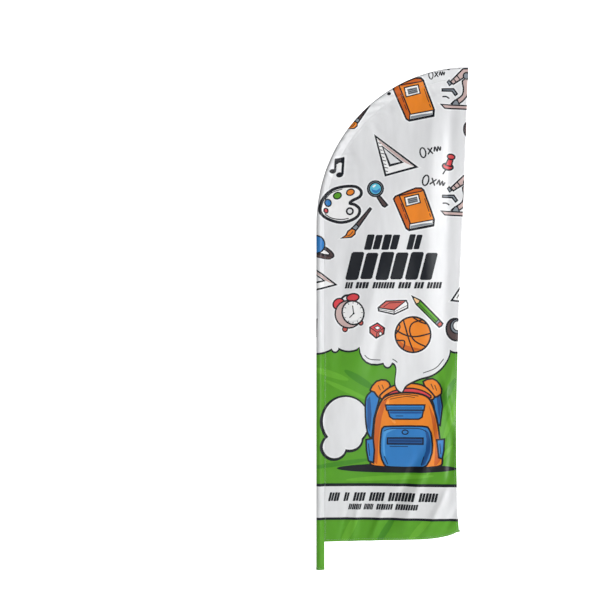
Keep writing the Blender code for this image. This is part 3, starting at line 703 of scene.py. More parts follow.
def backpack():
    edge = [
        (-18.9, 13.7), (-14.6, 17.0), (-12.8, 12.4), (-15.6, 2.0), (-16.6, -7.6), (-18.9, -5.0), (-19.9, 3.2),
        (-19.9, 10.4)
    ]
    made = filled(smooth(edge, True, 2), BLUE, 0.6, 0)
    made += patch([(-19.0, 11.5), (-17.6, 13.2), (-16.8, 4.0), (-17.6, -5.0), (-19.0, -2.0)], BLUE_DARK)
    edge = [
        (-17.6, 16.2), (-14.4, 20.6), (-9.6, 21.2), (-7.4, 18.4), (-9.6, 15.2), (-12.8, 12.0), (-15.4, 15.2)
    ]
    made += filled(smooth(edge, True, 2), ORANGE, 0.6, 0)
    edge = [(12.8, 13.0), (17.6, 14.9), (18.6, 8.2), (17.4, -1.4), (15.6, -0.6), (14.4, 8.4)]
    made += filled(edge, BLUE, 0.6, 0)
    made += patch([(15.8, 12.8), (17.2, 13.6), (17.9, 8.0), (17.0, 1.0), (16.2, 8.0)], BLUE_DARK)
    edge = [(9.0, 20.4), (13.8, 21.9), (17.4, 19.0), (18.2, 14.4), (13.6, 12.4), (11.2, 16.4)]
    made += filled(smooth(edge, True, 2), ORANGE, 0.6, 0)
    edge = [
        (-12.4, 12.0), (-9.4, 16.4), (-4.2, 18.9), (2.0, 19.6), (8.4, 18.7), (12.6, 15.6), (14.2, 11.6),
        (1, 9.4)
    ]
    made += filled(smooth(edge, True, 3), ORANGE, 0.6, 0)
    edge = [
        (-10.9, 12.0), (-7.6, 14.9), (-2.0, 16.7), (4.0, 17.0), (9.8, 15.4), (13.0, 12.4), (4.0, 11.2),
        (-4, 11.2)
    ]
    made += filled(smooth(edge, True, 3), RED, 0.5, 0)
    body = [
        (-16.1, -8.9), (-15.2, 2.1), (-12.2, 10.4), (-8.4, 13.6), (0.2, 14.9), (8.6, 13.9), (12.8, 10.8),
        (15.7, 2.1), (17.3, -8.9), (18.4, -18.8), (15.6, -21.9), (0, -22.4), (-15.2, -21.9), (-17.5, -18.9)
    ]
    made += filled(smooth(body, True, 3), ORANGE, 0.7, 0)
    edge = [
        (-15.6, -8.6), (-14.7, 2.0), (-11.8, 10.0), (-8.6, 12.8), (-11.6, 3.0), (-13.2, -8.0), (-14.0, -21.0),
        (-16.7, -18.6)
    ]
    made += patch(edge, ORANGE_DARK)
    edge = [
        (15.0, 2.0), (16.6, -9.0), (17.5, -18.6), (15.4, -21.2), (14.2, -21.2), (15.0, -10.0), (13.2, 2.0),
        (11.8, 9.0)
    ]
    made += patch(edge, ORANGE_DARK)
    edge = [(-6.4, 0.2), (-9.0, 5.6), (-9.6, 9.6), (-8.0, 11.2), (-7.8, 6.4), (-4.6, -0.2)]
    made += patch(smooth(edge, True, 2), ORANGE_LIGHT)
    made += stroke(smooth([(-10.6, 11.0), (-6.6, 13.0), (0.2, 13.9), (6.6, 13.2)]), 0.3)
    made += stroke(smooth([(-7.4, 11.6), (0.2, 12.9), (4.8, 12.4)]), 0.22)
    made += filled([(-8.7, 6.1), (9.2, 6.1), (8.5, 2.6), (6.8, 1.6), (-6.0, 1.6), (-7.7, 2.8)], BLUE, 0.5, 0)
    made += patch([(-7.9, 5.4), (8.4, 5.4), (8.2, 4.4), (-7.7, 4.4)], BLUE_DARK)
    made += filled([(-9.8, 8.7), (9.9, 8.7), (9.5, 6.1), (-9.3, 6.1)], BLUE, 0.5, 0)
    made += stroke([(-8.8, 7.2), (8.4, 7.2)], 0.22) + stroke([(-4.6, 3.2), (-1.0, 3.2)], 0.22)
    pocket = [
        (-12.0, -5.2), (-11.0, -2.6), (-8, -2.0), (8.6, -1.9), (12.0, -3.4), (13.2, -7.6), (13.2, -14.9),
        (10.4, -21.2), (6, -22.3), (-7.4, -22.3), (-10.6, -20.8), (-12.5, -14.9)
    ]
    made += filled(smooth(pocket, True, 2), BLUE, 0.6, 0)
    edge = [
        (9.9, -3.4), (11.6, -5.0), (12.5, -9.0), (12.4, -14.6), (9.8, -20.6), (7.6, -21.6), (10.2, -14.0),
        (10.6, -8.0)
    ]
    made += patch(edge, BLUE_DARK)
    edge = [
        (-11.0, -6.0), (-9.6, -3.8), (-4.0, -3.4), (-9.2, -5.4), (-10.2, -12.0), (-9.8, -18.0), (-11.2, -14.4)
    ]
    made += patch(smooth(edge, True, 2), BLUE_LIGHT)
    made += stroke(smooth([(-10.6, -4.4), (-6.6, -3.2), (6.6, -3.1), (10.4, -4.6)]), 0.25)
    made += filled([(-8.9, -7.8), (8.9, -7.8), (8.9, -10.8), (-8.9, -10.8)], BLUE_DARK, 0.5, 0)
    made += stroke([(-8.0, -9.3), (8.0, -9.3)], 0.25) + stroke([(-7.7, -12.0), (1.3, -12.0)], 0.25)
    made += filled(disc(0, -4.9, 1.5, 1.1, 0, 14), BLUE, 0.4, 0)
    edge = [(-19.6, -8.6), (-16.0, -8.0), (-15.4, -14.0), (-15.9, -20.2), (-18.4, -19.2), (-19.4, -14.0)]
    made += filled(edge, BLUE, 0.6, 0)
    made += filled([(15.6, -8.5), (19.5, -8.2), (19.2, -14.0), (18.3, -18.0), (16.6, -17.4)], BLUE, 0.6, 0)
    for line in (
        [(-13.4, 18.4), (-12.4, 16.2)], [(-11.6, 18.8), (-10.8, 16.8)], [(13.0, 19.2), (14.2, 16.6)],
        [(14.9, 18.6), (15.8, 16.0)], [(9.2, -17.0), (7.8, -21.0)], [(-10.4, -17.0), (-8.8, -20.8)],
        [(-18.4, -10.6), (-17.8, -16.6)], [(17.2, -10.4), (17.6, -15.6)]
    ):
        made += stroke(line, 0.28)
    return made


PAINTED_FOLD_STREAKS = [
    # x, z, half length, half width, tilt, colour: the broad strokes in the green ground, painted highlight
    # and painted shade of the cloth's folds
    (0.05, 0.98, 0.10, 0.016, -18, GREEN_PALE_AND_PAINTED_HIGHLIGHT),
    (0.20, 0.95, 0.09, 0.018, -32, GREEN_PAINTED_SHADE),
    (0.13, 0.90, 0.12, 0.012, -24, GREEN_PALE_AND_PAINTED_HIGHLIGHT),
    (0.63, 0.86, 0.11, 0.018, 62, GREEN_PAINTED_SHADE),
    (0.66, 0.76, 0.12, 0.014, 70, GREEN_PALE_AND_PAINTED_HIGHLIGHT),
    (0.10, 0.53, 0.16, 0.012, 8, GREEN_PAINTED_SHADE),
    (0.35, 0.46, 0.22, 0.012, 3, GREEN_PALE_AND_PAINTED_HIGHLIGHT),
    (0.60, 0.55, 0.10, 0.012, 48, GREEN_PALE_AND_PAINTED_HIGHLIGHT),
    (0.03, 0.80, 0.05, 0.010, 60, GREEN_PAINTED_SHADE),
    (0.15, 0.20, 0.09, 0.020, 62, GREEN_PALE_AND_PAINTED_HIGHLIGHT),
    (0.33, 0.20, 0.09, 0.016, 58, GREEN_PAINTED_SHADE),
    (0.50, 0.21, 0.09, 0.018, 50, GREEN_PALE_AND_PAINTED_HIGHLIGHT),
]


def eraser():
    """The end of one, which the sleeve's edge cuts off."""
    return filled([(-2.6, 3.4), (2.6, 1.2), (1.4, -1.6), (-2.2, -2.6)], PINKISH, 0.4, 0)


def square_corner():
    """The corner of a set square, which the fly edge cuts off."""
    made = filled([(-3.2, -2.6), (2.4, 5.9), (4.6, 4.4), (4.6, -3.4)], PAPER, 0.6)
    made += stroke([(-0.6, -1.4), (2.2, 3.0)], 0.3)
    return made + stroke([(1.0, -1.6), (2.8, 1.2)], 0.3)


def print_ground():
    """The green ground, with the backpack, its shadow and a small cloud beside it."""
    band(-0.1, 1.2, GREEN)
    # painted highlight and painted shade strokes of the cloth's folds, in the green ground
    for x, z, rx, rz, tilt, colour in PAINTED_FOLD_STREAKS:
        PRINT.append((disc(x, z, rx, rz, tilt, 24), colour))
    for grow, shift, colour in ((0.0125, -0.0025, NAVY), (0.0005, 0, HALO), (-0.0045, 0.002, CLOTH_WHITE)):
        PRINT.append((disc(0.131 + shift, 0.742 + shift, 0.114 + grow, 0.121 + grow, 0, 40), colour))
        PRINT.append((disc(0.074 + shift, 0.615 + shift, 0.057 + grow, steps=28), colour))
        PRINT.append((disc(0.150 + shift, 0.652 + shift, 0.060 + grow, 0.052 + grow, 0, 28), colour))
    PRINT.append((disc(0.3855, 0.507, 0.300, 0.0225, 0, 48), NAVY))
    stamp(0.4287, 0.7353, backpack())


def print_speech_cloud():
    """The great cloud that fills the flag's upper part, with its tail on the backpack."""
    lobes = [
        (-0.06, 1.090, 0.10), (0.0608, 1.1080, 0.55), (0.0930, 1.1125, 0.16), (0.2034, 1.1170, 0.30),
        (0.3213, 1.0364, 0.62), (0.3592, 1.0390, 0),
    ]
    down_to_the_tail = [
        (0.3592, 1.0390), (0.3800, 1.0290), (0.3915, 0.9990), (0.3855, 0.9353), (0.3930, 0.9060),
        (0.4098, 0.8880),
    ]
    up_again = [
        (0.4098, 0.8880), (0.4320, 0.9230), (0.4940, 0.9543), (0.5624, 0.9753), (0.6119, 1.0132),
        (0.6434, 1.0669), (0.6480, 1.1090),
    ]
    last_lobes = [(0.6480, 1.1090, 0.22), (0.7100, 1.1000, 0.2), (0.80, 1.10, 0)]
    edge = bulged(lobes) + smooth(down_to_the_tail)[1:] + smooth(up_again)[1:] + bulged(last_lobes)[1:]
    PRINT.append((stroke(edge, 0.0230, pen=1)[0][1], NAVY))
    PRINT.append((stroke([(x, z + 0.004) for x, z in edge], 0.0110, pen=1)[0][1], HALO))
    PRINT.append((edge + [(0.9, 1.09), (0.9, 2.7), (-0.2, 2.7), (-0.2, 1.09)], CLOTH_WHITE))
    for line in (
        [(0.226, 1.072), (0.252, 1.052), (0.304, 1.048)],
        [(0.520, 0.983), (0.583, 1.008), (0.622, 1.052)],
        [(0.366, 1.052), (0.378, 1.046), (0.389, 1.036)],
    ):
        PRINT.append((stroke(smooth(line), 0.0042, pen=1)[0][1], NAVY))


def print_school_things():
    stamp(0.470, 2.346, notebook())
    stamp(0.469, 1.798, notebook())
    stamp(0.362, 2.048, set_square(), 1.03)
    stamp(-0.0180, 1.455, set_square(), 0.85)
    stamp(0.5515, 2.0925, doodles(), tilt=10)
    stamp(0.5675, 1.938, doodles(), 1.05, tilt=-14)
    stamp(0.5850, 2.474, doodles(), 0.75, tilt=4)
    stamp(0.640, 2.031, push_pin())
    stamp(0.2785, 1.904, magnifier())
    stamp(0.0080, 1.985, eraser())
    stamp(0.0940, 2.018, music_note())
    stamp(0.1040, 1.825, palette())
    stamp(0.1850, 1.7325, paint_brush())
    stamp(0.1950, 2.260, paint_brush(), 0.8)
    stamp(0.3485, 2.376, patch(disc(0, 0, 1.0, 0.7, 20, 12), NAVY))
    stamp(0.6732, 2.399, microscope())
    stamp(0.6732, 1.866, microscope())
    stamp(0.735, 2.200, filled(disc(0, 0, 1.6, 3.4), BROWN, 0.5))
    stamp(-0.0200, 1.626, planet())
    stamp(0.1590, 1.283, alarm_clock())
    stamp(0.3660, 1.305, closed_book())
    stamp(0.5370, 1.2935, pencil(), tilt=-45)
    stamp(0.2868, 1.196, sharpener())
    stamp(0.4677, 1.175, basketball())
    stamp(0.694, 1.372, square_corner())
    stamp(0.6760, 1.206, tape_roll())
    stamp(-0.0150, 1.209, patch([(-1.2, 4.7), (0.9, 4.7), (0.5, -4.7), (-1.2, -4.7)], NAVY))


def print_rows():
    """Each row of blocks, as (start, end, number of blocks) for its words."""
    word(0.2205, 0.410, 1.599, 0.0765, 4)
    word(0.432, 0.5215, 1.600, 0.0765, 2)
    word(0.127, 0.607, 1.4485, 0.140, 6)
    line = [
        (0.125, 0.170, 3), (0.178, 0.250, 4), (0.262, 0.380, 8), (0.391, 0.462, 4), (0.471, 0.525, 3),
        (0.534, 0.617, 5),
    ]
    for start, end, blocks in line:
        word(start, end, 1.406, 0.0325, blocks)


def print_footer():
    """A white strip between two dark lines, with two small rows."""
    band(0.2490, 0.4322, NAVY)
    band(0.2617, 0.4175, CLOTH_WHITE)
    upper_row = [
        (0.042, 0.106, 4), (0.118, 0.154, 2), (0.165, 0.235, 4), (0.245, 0.330, 5), (0.340, 0.479, 8),
        (0.490, 0.593, 6),
    ]
    lower_row = [(0.142, 0.212, 7), (0.219, 0.272, 6), (0.281, 0.369, 7), (0.376, 0.493, 9)]
    for start, end, blocks in upper_row:
        word(start, end, 0.343, 0.044, blocks)
    for start, end, blocks in lower_row:
        word(start, end, 0.301, 0.029, blocks)


print_ground()
print_speech_cloud()
print_school_things()
print_rows()
print_footer()


# ================================================================ printed cloth
# Warp-knitted flag polyester, about 110 g to the square metre, with a satin face. Every piece is cut flat
# along its own outline and along every edge of the print, then lifted into its place on the flag.
PINNED = 0.00004  # points of a cut that lie nearer than this are one


def wound(x, z, outline):
    """Which of the points lie inside an outline, as an array."""
    turns = np.zeros(len(x), int)
    corners = np.array(outline)
    low, high = corners.min(0), corners.max(0)
    near = np.nonzero((x > low[0]) & (x < high[0]) & (z > low[1]) & (z < high[1]))[0]
    if len(near):
        px, pz = x[near], z[near]
        count = np.zeros(len(near), int)
        for (ax, az), (bx, bz) in zip(corners, np.roll(corners, -1, 0)):
            left = (bx - ax) * (pz - az) - (px - ax) * (bz - az)
            count += (az <= pz) & (bz > pz) & (left > 0)
            count -= (az > pz) & (bz <= pz) & (left < 0)
        turns[near] = count
    return turns != 0


def divided(points, step):
    """A closed outline with no side longer than step."""
    made = []
    for a, b in zip(points, points[1:] + points[:1]):
        parts = max(1, math.ceil(math.hypot(b[0] - a[0], b[1] - a[1]) / step))
        made += [(between(a[0], b[0], k / parts), between(a[1], b[1], k / parts)) for k in range(parts)]
    return made


def cut_cloth(outline, step, across=None):
    """A flat piece, as (points, triangles, print's number on each triangle). Its inner points lie step apart,
    or across apart sideways."""
    across = across or step
    outline = divided(outline, step)
    region = grown(outline, 0.004)
    ends = []
    for points, _ in PRINT:
        line = divided(points, step)
        x, z = np.array(line).T
        held = wound(x, z, region)
        for i in range(len(line)):
            k = (i + 1) % len(line)
            if held[i] or held[k]:
                ends += [line[i], line[k]]
    count = len(outline)
    verts = outline + ends
    sides = [(i, (i + 1) % count) for i in range(count)]
    sides += [(count + 2 * i, count + 2 * i + 1) for i in range(len(ends) // 2)]

    cell = 0.45 * step
    taken = set()
    for a, b in sides:
        (ax, az), (bx, bz) = verts[a], verts[b]
        for k in range(3):
            x, z = between(ax, bx, k / 2), between(az, bz, k / 2)
            taken.add((int(x // cell), int(z // cell)))
    low = np.array(outline).min(0)
    high = np.array(outline).max(0)
    columns = np.arange(low[0] + across / 2, high[0], across)
    gx, gz = np.meshgrid(columns, np.arange(low[1] + step / 2, high[1], step))
    gx[1::2] += across / 2
    gx, gz = gx.ravel(), gz.ravel()
    held = wound(gx, gz, outline)
    for x, z in zip(gx[held], gz[held]):
        i, k = int(x // cell), int(z // cell)
        if not any((i + a, k + b) in taken for a in (-1, 0, 1) for b in (-1, 0, 1)):
            verts.append((float(x), float(z)))

    made = delaunay_2d_cdt([Vector(v) for v in verts], sides, [], 0, PINNED)
    points = [(v[0], v[1]) for v in made[0]]
    corners = np.array(points)
    triangles = np.array([f for f in made[2] if len(f) == 3])
    a, b, c = corners[triangles[:, 0]], corners[triangles[:, 1]], corners[triangles[:, 2]]
    middle = (a + b + c) / 3
    size = (b[:, 0] - a[:, 0]) * (c[:, 1] - a[:, 1]) - (c[:, 0] - a[:, 0]) * (b[:, 1] - a[:, 1])
    kept = wound(middle[:, 0], middle[:, 1], outline) & (np.abs(size) > 1e-12)
    triangles, middle, size = triangles[kept], middle[kept], size[kept]
    triangles[size < 0] = triangles[size < 0][:, ::-1]
    shade = np.full(len(triangles), -1)
    for number, (print_outline, _) in enumerate(PRINT):
        shade[wound(middle[:, 0], middle[:, 1], print_outline)] = number
    used = np.unique(triangles)
    new = np.full(len(points), -1)
    new[used] = np.arange(len(used))
    return [points[i] for i in used], new[triangles].tolist(), shade.tolist()


def paler(colour):
    """The print as it shows on the reverse."""
    return tuple(between(c ** (1 / 2.2), 0.90, 0.25) ** 2.2 for c in colour)


FRONT_INKS = np.array([colour for _, colour in PRINT] + [CLOTH_WHITE])
REVERSE_INKS = np.array([paler(colour) for _, colour in PRINT] + [paler(CLOTH_WHITE)])
NUDGE = 0.0002  # the step over which a surface's direction is taken


def lifted(points, lift, sink=0.0):
    """The places of the flat points, sunk under the surface by sink, and the surface's own directions."""
    places, ways = [], []
    for x, z in points:
        right = Vector(lift(x + NUDGE, z)) - Vector(lift(x - NUDGE, z))
        up = Vector(lift(x, z + NUDGE)) - Vector(lift(x, z - NUDGE))
        way = right.cross(up).normalized()
        places.append(Vector(lift(x, z)) - way * sink)
        ways.append(way)
    return places, ways


def sew_shell(name, cut, sides, welded=None):
    """A closed piece of cloth from one flat cut. Each side is (lift, sink, inks, faces_away), and the first
    and second, and the third and fourth, are the two faces of one layer. They are joined round the cut's
    edge, but for the points where welded(x, z) holds: there the layers run on into each other."""
    points, triangles, shade = cut
    uses = {}
    for a, b, c in triangles:
        for side in ((a, b), (b, c), (c, a)):
            uses[side] = uses.get(side, 0) + 1
    rim = [(a, b) for a, b in uses if (b, a) not in uses]
    folded = {i for side in rim for i in side if welded and welded(*points[i])}
    places, faces, ways, colours, flat = [], [], [], [], []
    index = []
    for number, (lift, sink, inks, faces_away) in enumerate(sides):
        mine, directions = lifted(points, lift, sink)
        numbers = []
        for i, place in enumerate(mine):
            if number > 1 and i in folded:
                numbers.append(index[number - 2][i])
            else:
                numbers.append(len(places))
                places.append(place)
        index.append(numbers)
        sign = -1 if faces_away else 1
        for triangle, ink_number in zip(triangles, shade):
            corner = triangle[::-1] if faces_away else triangle
            faces.append([numbers[i] for i in corner])
            ways += [sign * directions[i] for i in corner]
            colours += [(*inks[ink_number], 1)] * 3
            flat += [points[i] for i in corner]
    for first in range(0, len(sides), 2):
        one, two = index[first], index[first + 1]
        back_first = sides[first][3]
        inks = sides[first][2]
        shade_of = {}
        for triangle, ink_number in zip(triangles, shade):
            for side in zip(triangle, triangle[1:] + triangle[:1]):
                shade_of[side] = ink_number
        for a, b in rim:
            if a in folded and b in folded:
                continue
            quad = [one[a], two[a], two[b], one[b]]
            if back_first:
                quad.reverse()
            p, q, s = (places[quad[i]] for i in (0, 1, 3))
            way = (q - p).cross(s - p)
            way = way.normalized() if way.length > 1e-12 else Vector((0, 0, 1))
            faces.append(quad)
            ways += [way] * 4
            colours += [(*inks[shade_of[a, b]], 1)] * 4
            flat += [points[a], points[a], points[b], points[b]]
    mesh = bpy.data.meshes.new(name)
    mesh.from_pydata([tuple(p) for p in places], [], faces, shade_flat=False)
    dye = mesh.color_attributes.new("ink", "FLOAT_COLOR", "CORNER")
    dye.data.foreach_set("color", np.array(colours, np.float32).ravel())
    layer = mesh.uv_layers.new(name="flat_cut")
    layer.data.foreach_set("uv", np.array(flat, np.float32).ravel())
    mesh.normals_split_custom_set([tuple(way) for way in ways])
    mesh.materials.append(PRINTED_CLOTH)
    piece = bpy.data.objects.new(name, mesh)
    scene.collection.objects.link(piece)
    return piece


def single(face):
    """The sides of one layer of cloth. face(-1) is its front face, and face(1) its back."""
    return [(face(-1), 0, FRONT_INKS, False), (face(1), 0, REVERSE_INKS, True)]


def doubled(face, thick):
    """The sides of two layers with room between them. face(-1) and face(1) are their outer faces."""
    return [
        (face(-1), 0, FRONT_INKS, False),
        (face(-1), thick, REVERSE_INKS, True),
        (face(1), 0, REVERSE_INKS, True),
        (face(1), -thick, REVERSE_INKS, False),
    ]


def add_bump(tree, shader, source, out, strength, distance):
    bump = add(tree, "ShaderNodeBump", Strength=strength, Distance=distance)
    wire(tree, source, out, bump, "Height")
    wire(tree, bump, "Normal", shader, "Normal")


def add_weave(tree, place, *ridges):
    """Two sets of fine ridges that cross, each given as (direction, scale)."""
    weave = add(tree, "ShaderNodeMath")
    weave.operation = "MULTIPLY"
    for number, (direction, scale) in enumerate(ridges):
        ridge = add(tree, "ShaderNodeTexWave", Scale=scale)
        ridge.bands_direction = direction
        wire(tree, place, "UV", ridge, "Vector")
        wire(tree, ridge, "Fac", weave, number)
    return weave


def make_printed_cloth():
    """Satin knit: fine wales up the flag and courses across it, slight unevenness of dye, a soft sheen."""
    made, tree, shader = new_material(
        "printed_polyester", Roughness=0.34, Specular_IOR_Level=0.38, Sheen_Weight=0.03, Sheen_Roughness=0.4
    )
    dye = add(tree, "ShaderNodeVertexColor")
    dye.layer_name = "ink"
    place = add(tree, "ShaderNodeUVMap")
    place.uv_map = "flat_cut"
    stretch = add(tree, "ShaderNodeMapping", Scale=(7.0, 1.6, 1.0))
    cloud = add(tree, "ShaderNodeTexNoise", Scale=4.0, Detail=3.0)
    strength = add(tree, "ShaderNodeMapRange", From_Min=0.3, From_Max=0.7, To_Min=0.955, To_Max=1.03)
    tint = add(tree, "ShaderNodeMix")
    tint.data_type = "RGBA"
    tint.blend_type = "MULTIPLY"
    tint.inputs["Factor"].default_value = 1.0
    wire(tree, place, "UV", stretch, "Vector")
    wire(tree, stretch, "Vector", cloud, "Vector")
    wire(tree, cloud, "Fac", strength, "Value")
    wire(tree, dye, "Color", tint, "A")
    wire(tree, strength, "Result", tint, "B")
    wire(tree, tint, "Result", shader, "Base Color")
    knit = add_weave(tree, place, ("X", 260.0), ("Y", 300.0))
    add_bump(tree, shader, knit, "Value", 0.35, 0.00012)
    return made


PRINTED_CLOTH = make_printed_cloth()


# ================================================================ the sail
# One panel of printed polyester, cut to the head's curve and held there by the seam. Its edges run 4 mm into
# the sleeve's seam and into its own hems.
SAIL_STEP = 0.0105
LAP = 0.004
SAIL_LEFT = SLEEVE_WIDTH + SEAM_WIDTH - LEAD
SAIL_RIGHT = fly_edge(CORNER_Z) - HEM_WIDTH


def foot_edge(x):
    """z of the sail's bottom edge."""
    return TAIL_LENGTH + foot_rise(min(max((x - SAIL_LEFT) / (SAIL_RIGHT - SAIL_LEFT), 0), 1))


def sail_outline():
    foot = [(x, foot_edge(x) + HEM_WIDTH - LAP) for x in np.linspace(SAIL_LEFT - LAP, SAIL_RIGHT + LAP, 61)]
    heights = [between(foot[-1][1], FLAG_TOP, i / 120) for i in range(1, 121)]
    right = [(fly_edge(z) - HEM_WIDTH + LAP, z) for z in heights]
    turns = [math.pi / 2 * i / 140 for i in range(141)]
    left = [on_arc(turn, sleeve_size(turn)[0] + SEAM_WIDTH - LAP) for turn in turns]
    top = next(i for i, (x, z) in enumerate(left) if x > fly_edge(z) - HEM_WIDTH + LAP)
    left = left[:top]
    right = [p for p in right if p[1] < left[-1][1]]
    return [(float(x), float(z)) for x, z in foot + right + left[::-1]]


def sail_face(side):
    return lambda x, z: (x, sail_y(x, z) + side * CLOTH / 2, z)


sail_cut = cut_cloth(sail_outline(), SAIL_STEP)
sail = sew_shell("printed_sail", sail_cut, single(sail_face))
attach(sail, "tip_section")
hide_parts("sail")


# ================================================================ the sleeve
# A strip of the same cloth, folded round the pole and sewn to the sail, with the print running on over it.
# It is a drop in section beside the straight pole, nearly flat at the tip, and ends below the sail as a tail.
SLEEVE_FOOT = 0.0126
SLIT = 0.0009  # half the space between its two edges, where the seam's cloth goes in
PUCKER, PUCKER_PITCH = 0.0027, 0.062  # over the head, where the cloth is gathered on the curve
RIPPLE, RIPPLE_PITCH = 0.0005, 0.19  # everywhere, and less in the tail


def wrap(share, width, depth, slit=SLIT):
    """(inset, y) at this share of the way round the sleeve's front, from its leading edge to its seam."""
    nose = depth / 2
    reach = width - nose
    lean = math.acos(nose / reach)
    arc, flat = (math.pi - lean) * nose, math.sqrt(reach * reach - nose * nose)
    run = share * (arc + flat)
    if run < arc:
        angle = math.pi - run / nose
        return nose + nose * math.cos(angle), -nose * math.sin(angle)
    t = (run - arc) / flat
    return between(nose + nose * math.cos(lean), width, t), between(-nose * math.sin(lean), -slit, t)


def sleeve_face(side):
    """The outer face of the sleeve's front (-1) or back (1) half."""

    def lift(x, z):
        turn, inset = along_head(x, z)
        if z > ARC_START and from_pole_side(x, z) < 0:
            inset = -inset
        width, depth = sleeve_size(turn)
        share = inset / width
        a, y = wrap(share, width, depth)
        run = seam_run(turn, z)
        free = smooth_step(share / 0.3) * smooth_step((1 - share) / 0.25)
        pucker = smooth_step((turn - 0.25) / 0.5) * smooth_step((1.5 - turn) / 0.3)
        loose = 1 if z > TAIL_LENGTH else 0.4
        drift = 1.6 * math.sin(run / 0.071)
        y -= free * PUCKER * pucker * math.sin(2 * math.pi * (run / PUCKER_PITCH - inset / 0.040) + drift)
        y -= free * RIPPLE * loose * math.sin(2 * math.pi * (run / RIPPLE_PITCH + inset / 0.09))
        px, pz = on_arc(turn, a) if turn > 0 else (a - LEAD, z)
        return (px, -side * y, pz)

    return lift


def sleeve_outline(inner, outer, foot):
    """Between two insets from the leading edge, each given as a function of the head's turn."""
    turns = [math.pi / 2 * i / 150 for i in range(151)]
    lead = [on_arc(turn, outer(turn)) for turn in turns]
    back = [on_arc(turn, inner(turn)) for turn in turns[::-1]]
    return [(inner(0) - LEAD, foot), (outer(0) - LEAD, foot)] + lead + back


def at_sleeve_seam(turn):
    return sleeve_size(turn)[0]


AT_EDGE = 3e-5


def on_leading_edge(x, z):
    if z <= ARC_START:
        return x + LEAD < AT_EDGE
    return abs(from_pole_side(x, z)) < 2 * AT_EDGE


sleeve_shape = sleeve_outline(at_sleeve_seam, lambda turn: 0.0, SLEEVE_FOOT)
sleeve_cut = cut_cloth(sleeve_shape, step=0.009, across=0.0032)
sleeve = sew_shell("printed_sleeve", sleeve_cut, doubled(sleeve_face, CLOTH), on_leading_edge)
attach(sleeve, "tip_section")
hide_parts("pole_sleeve", "arc_sleeve", "sleeve_tail")


# ================================================================ the sleeve's seam
# The sleeve's two edges lie on the sail's edge, one on each face, turned under and sewn down with two rows.
# The cloth rises a little between the stitches, and more on the head's curve.
SEAM_LAP = 0.002  # how far it reaches over the sleeve


def dome(t):
    """The fall of a folded edge's thickness, from 1 in its middle to 0.3 at its two sides."""
    return 0.3 + 0.7 * math.sqrt(math.sqrt(max(math.sin(math.pi * min(max(t, 0.0), 1.0)), 0.0)))


def seam_half(x, z):
    """Half of the seam's thickness, with the pinch of its stitches."""
    turn, inset = along_head(x, z)
    t = (inset - sleeve_size(turn)[0] + SEAM_LAP) / (SEAM_WIDTH + SEAM_LAP)
    run = seam_run(turn, z)
    pucker = 1 + 0.10 * math.sin(2 * math.pi * run / 0.0125) * (1 + smooth_step(turn / 0.4))
    return FOLDED / 2 * dome(t) * pucker


def seam_face(side):
    return lambda x, z: (x, side * seam_half(x, z), z)


def behind_seam(turn):
    return at_sleeve_seam(turn) + SEAM_WIDTH


def before_seam(turn):
    return at_sleeve_seam(turn) - SEAM_LAP


seam_outline = sleeve_outline(behind_seam, before_seam, TAIL_LENGTH + GAP)
seam = sew_shell("sleeve_seam", cut_cloth(seam_outline, step=0.004, across=0.0017), single(seam_face))
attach(seam, "tip_section")
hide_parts("luff_seam", "arc_seam")


# ================================================================ the hems
# The sail's free edges are turned twice to 12 mm and sewn. The tail's open end is turned up in the same way.
# A hem is three layers of cloth, with a round fold outside and a flatter edge inside.
def hem_half(t, run):
    """Half of a hem's thickness. t runs from its outer edge, a fold, to its inner one."""
    outer = math.sqrt(1 - (1 - min(t / 0.12, 1)) ** 2)
    inner = smooth_step((1 - t) / 0.12) * 0.6 + 0.4
    return FOLDED / 2 * max(outer, 0.1) * inner * (1 + 0.12 * math.sin(2 * math.pi * run / 0.0135))


FLY_HEM_TOP = FLAG_TOP - HEAD_SLEEVE_WIDTH - SEAM_WIDTH
FLY_HEM_FOOT = CORNER_Z + HEM_WIDTH - 0.002


def fly_hem_face(side):
    return lambda x, z: (x, sail_y(x, z) + side * hem_half(max(fly_edge(z) - x, 0) / HEM_WIDTH, z), z)


def foot_hem_face(side):
    return lambda x, z: (x, sail_y(x, z) + side * hem_half(max(z - foot_edge(x), 0) / HEM_WIDTH, x), z)


heights = [between(FLY_HEM_FOOT, FLY_HEM_TOP, i / 200) for i in range(201)]
fly_outline = [(fly_edge(z) - HEM_WIDTH, z) for z in heights[::-1]] + [(fly_edge(z), z) for z in heights]
fly_hem = sew_shell("fly_edge_hem", cut_cloth(fly_outline, step=0.006, across=0.0020), single(fly_hem_face))
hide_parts("fly_hem")

widths = [between(SAIL_LEFT - 0.001, fly_edge(CORNER_Z), i / 80) for i in range(81)]
foot_outline = [(x, foot_edge(x)) for x in widths] + [(x, foot_edge(x) + HEM_WIDTH) for x in widths[::-1]]
foot_cut = cut_cloth(foot_outline, step=0.0020, across=0.006)
foot_hem = sew_shell("foot_edge_hem", foot_cut, single(foot_hem_face))
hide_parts("foot_hem")

TAIL_HEM_TOP = 0.0123
HEM_PROUD = (FOLDED - CLOTH) / 2  # how far it stands out over the sleeve
TAIL_BACK = SLEEVE_WIDTH - LEAD


def tail_hem_face(side):
    def lift(x, z):
        share = (x + LEAD) / SLEEVE_WIDTH
        a, y = wrap(share, SLEEVE_WIDTH + 2 * HEM_PROUD, SLEEVE_DEPTH + 2 * HEM_PROUD, FOLDED + 0.0002)
        return (a - HEM_PROUD - LEAD, -side * y, z)

    return lift


def at_tail_fold(x, z):
    return x + LEAD < AT_EDGE


tail_outline = [(-LEAD, GAP), (TAIL_BACK, GAP), (TAIL_BACK, TAIL_HEM_TOP), (-LEAD, TAIL_HEM_TOP)]
tail_cut = cut_cloth(tail_outline, step=0.002)
tail_hem = sew_shell("tail_end_hem", tail_cut, doubled(tail_hem_face, FOLDED), at_tail_fold)
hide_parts("tail_hem")
for hem in (fly_hem, foot_hem, tail_hem):
    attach(hem, "tip_section")


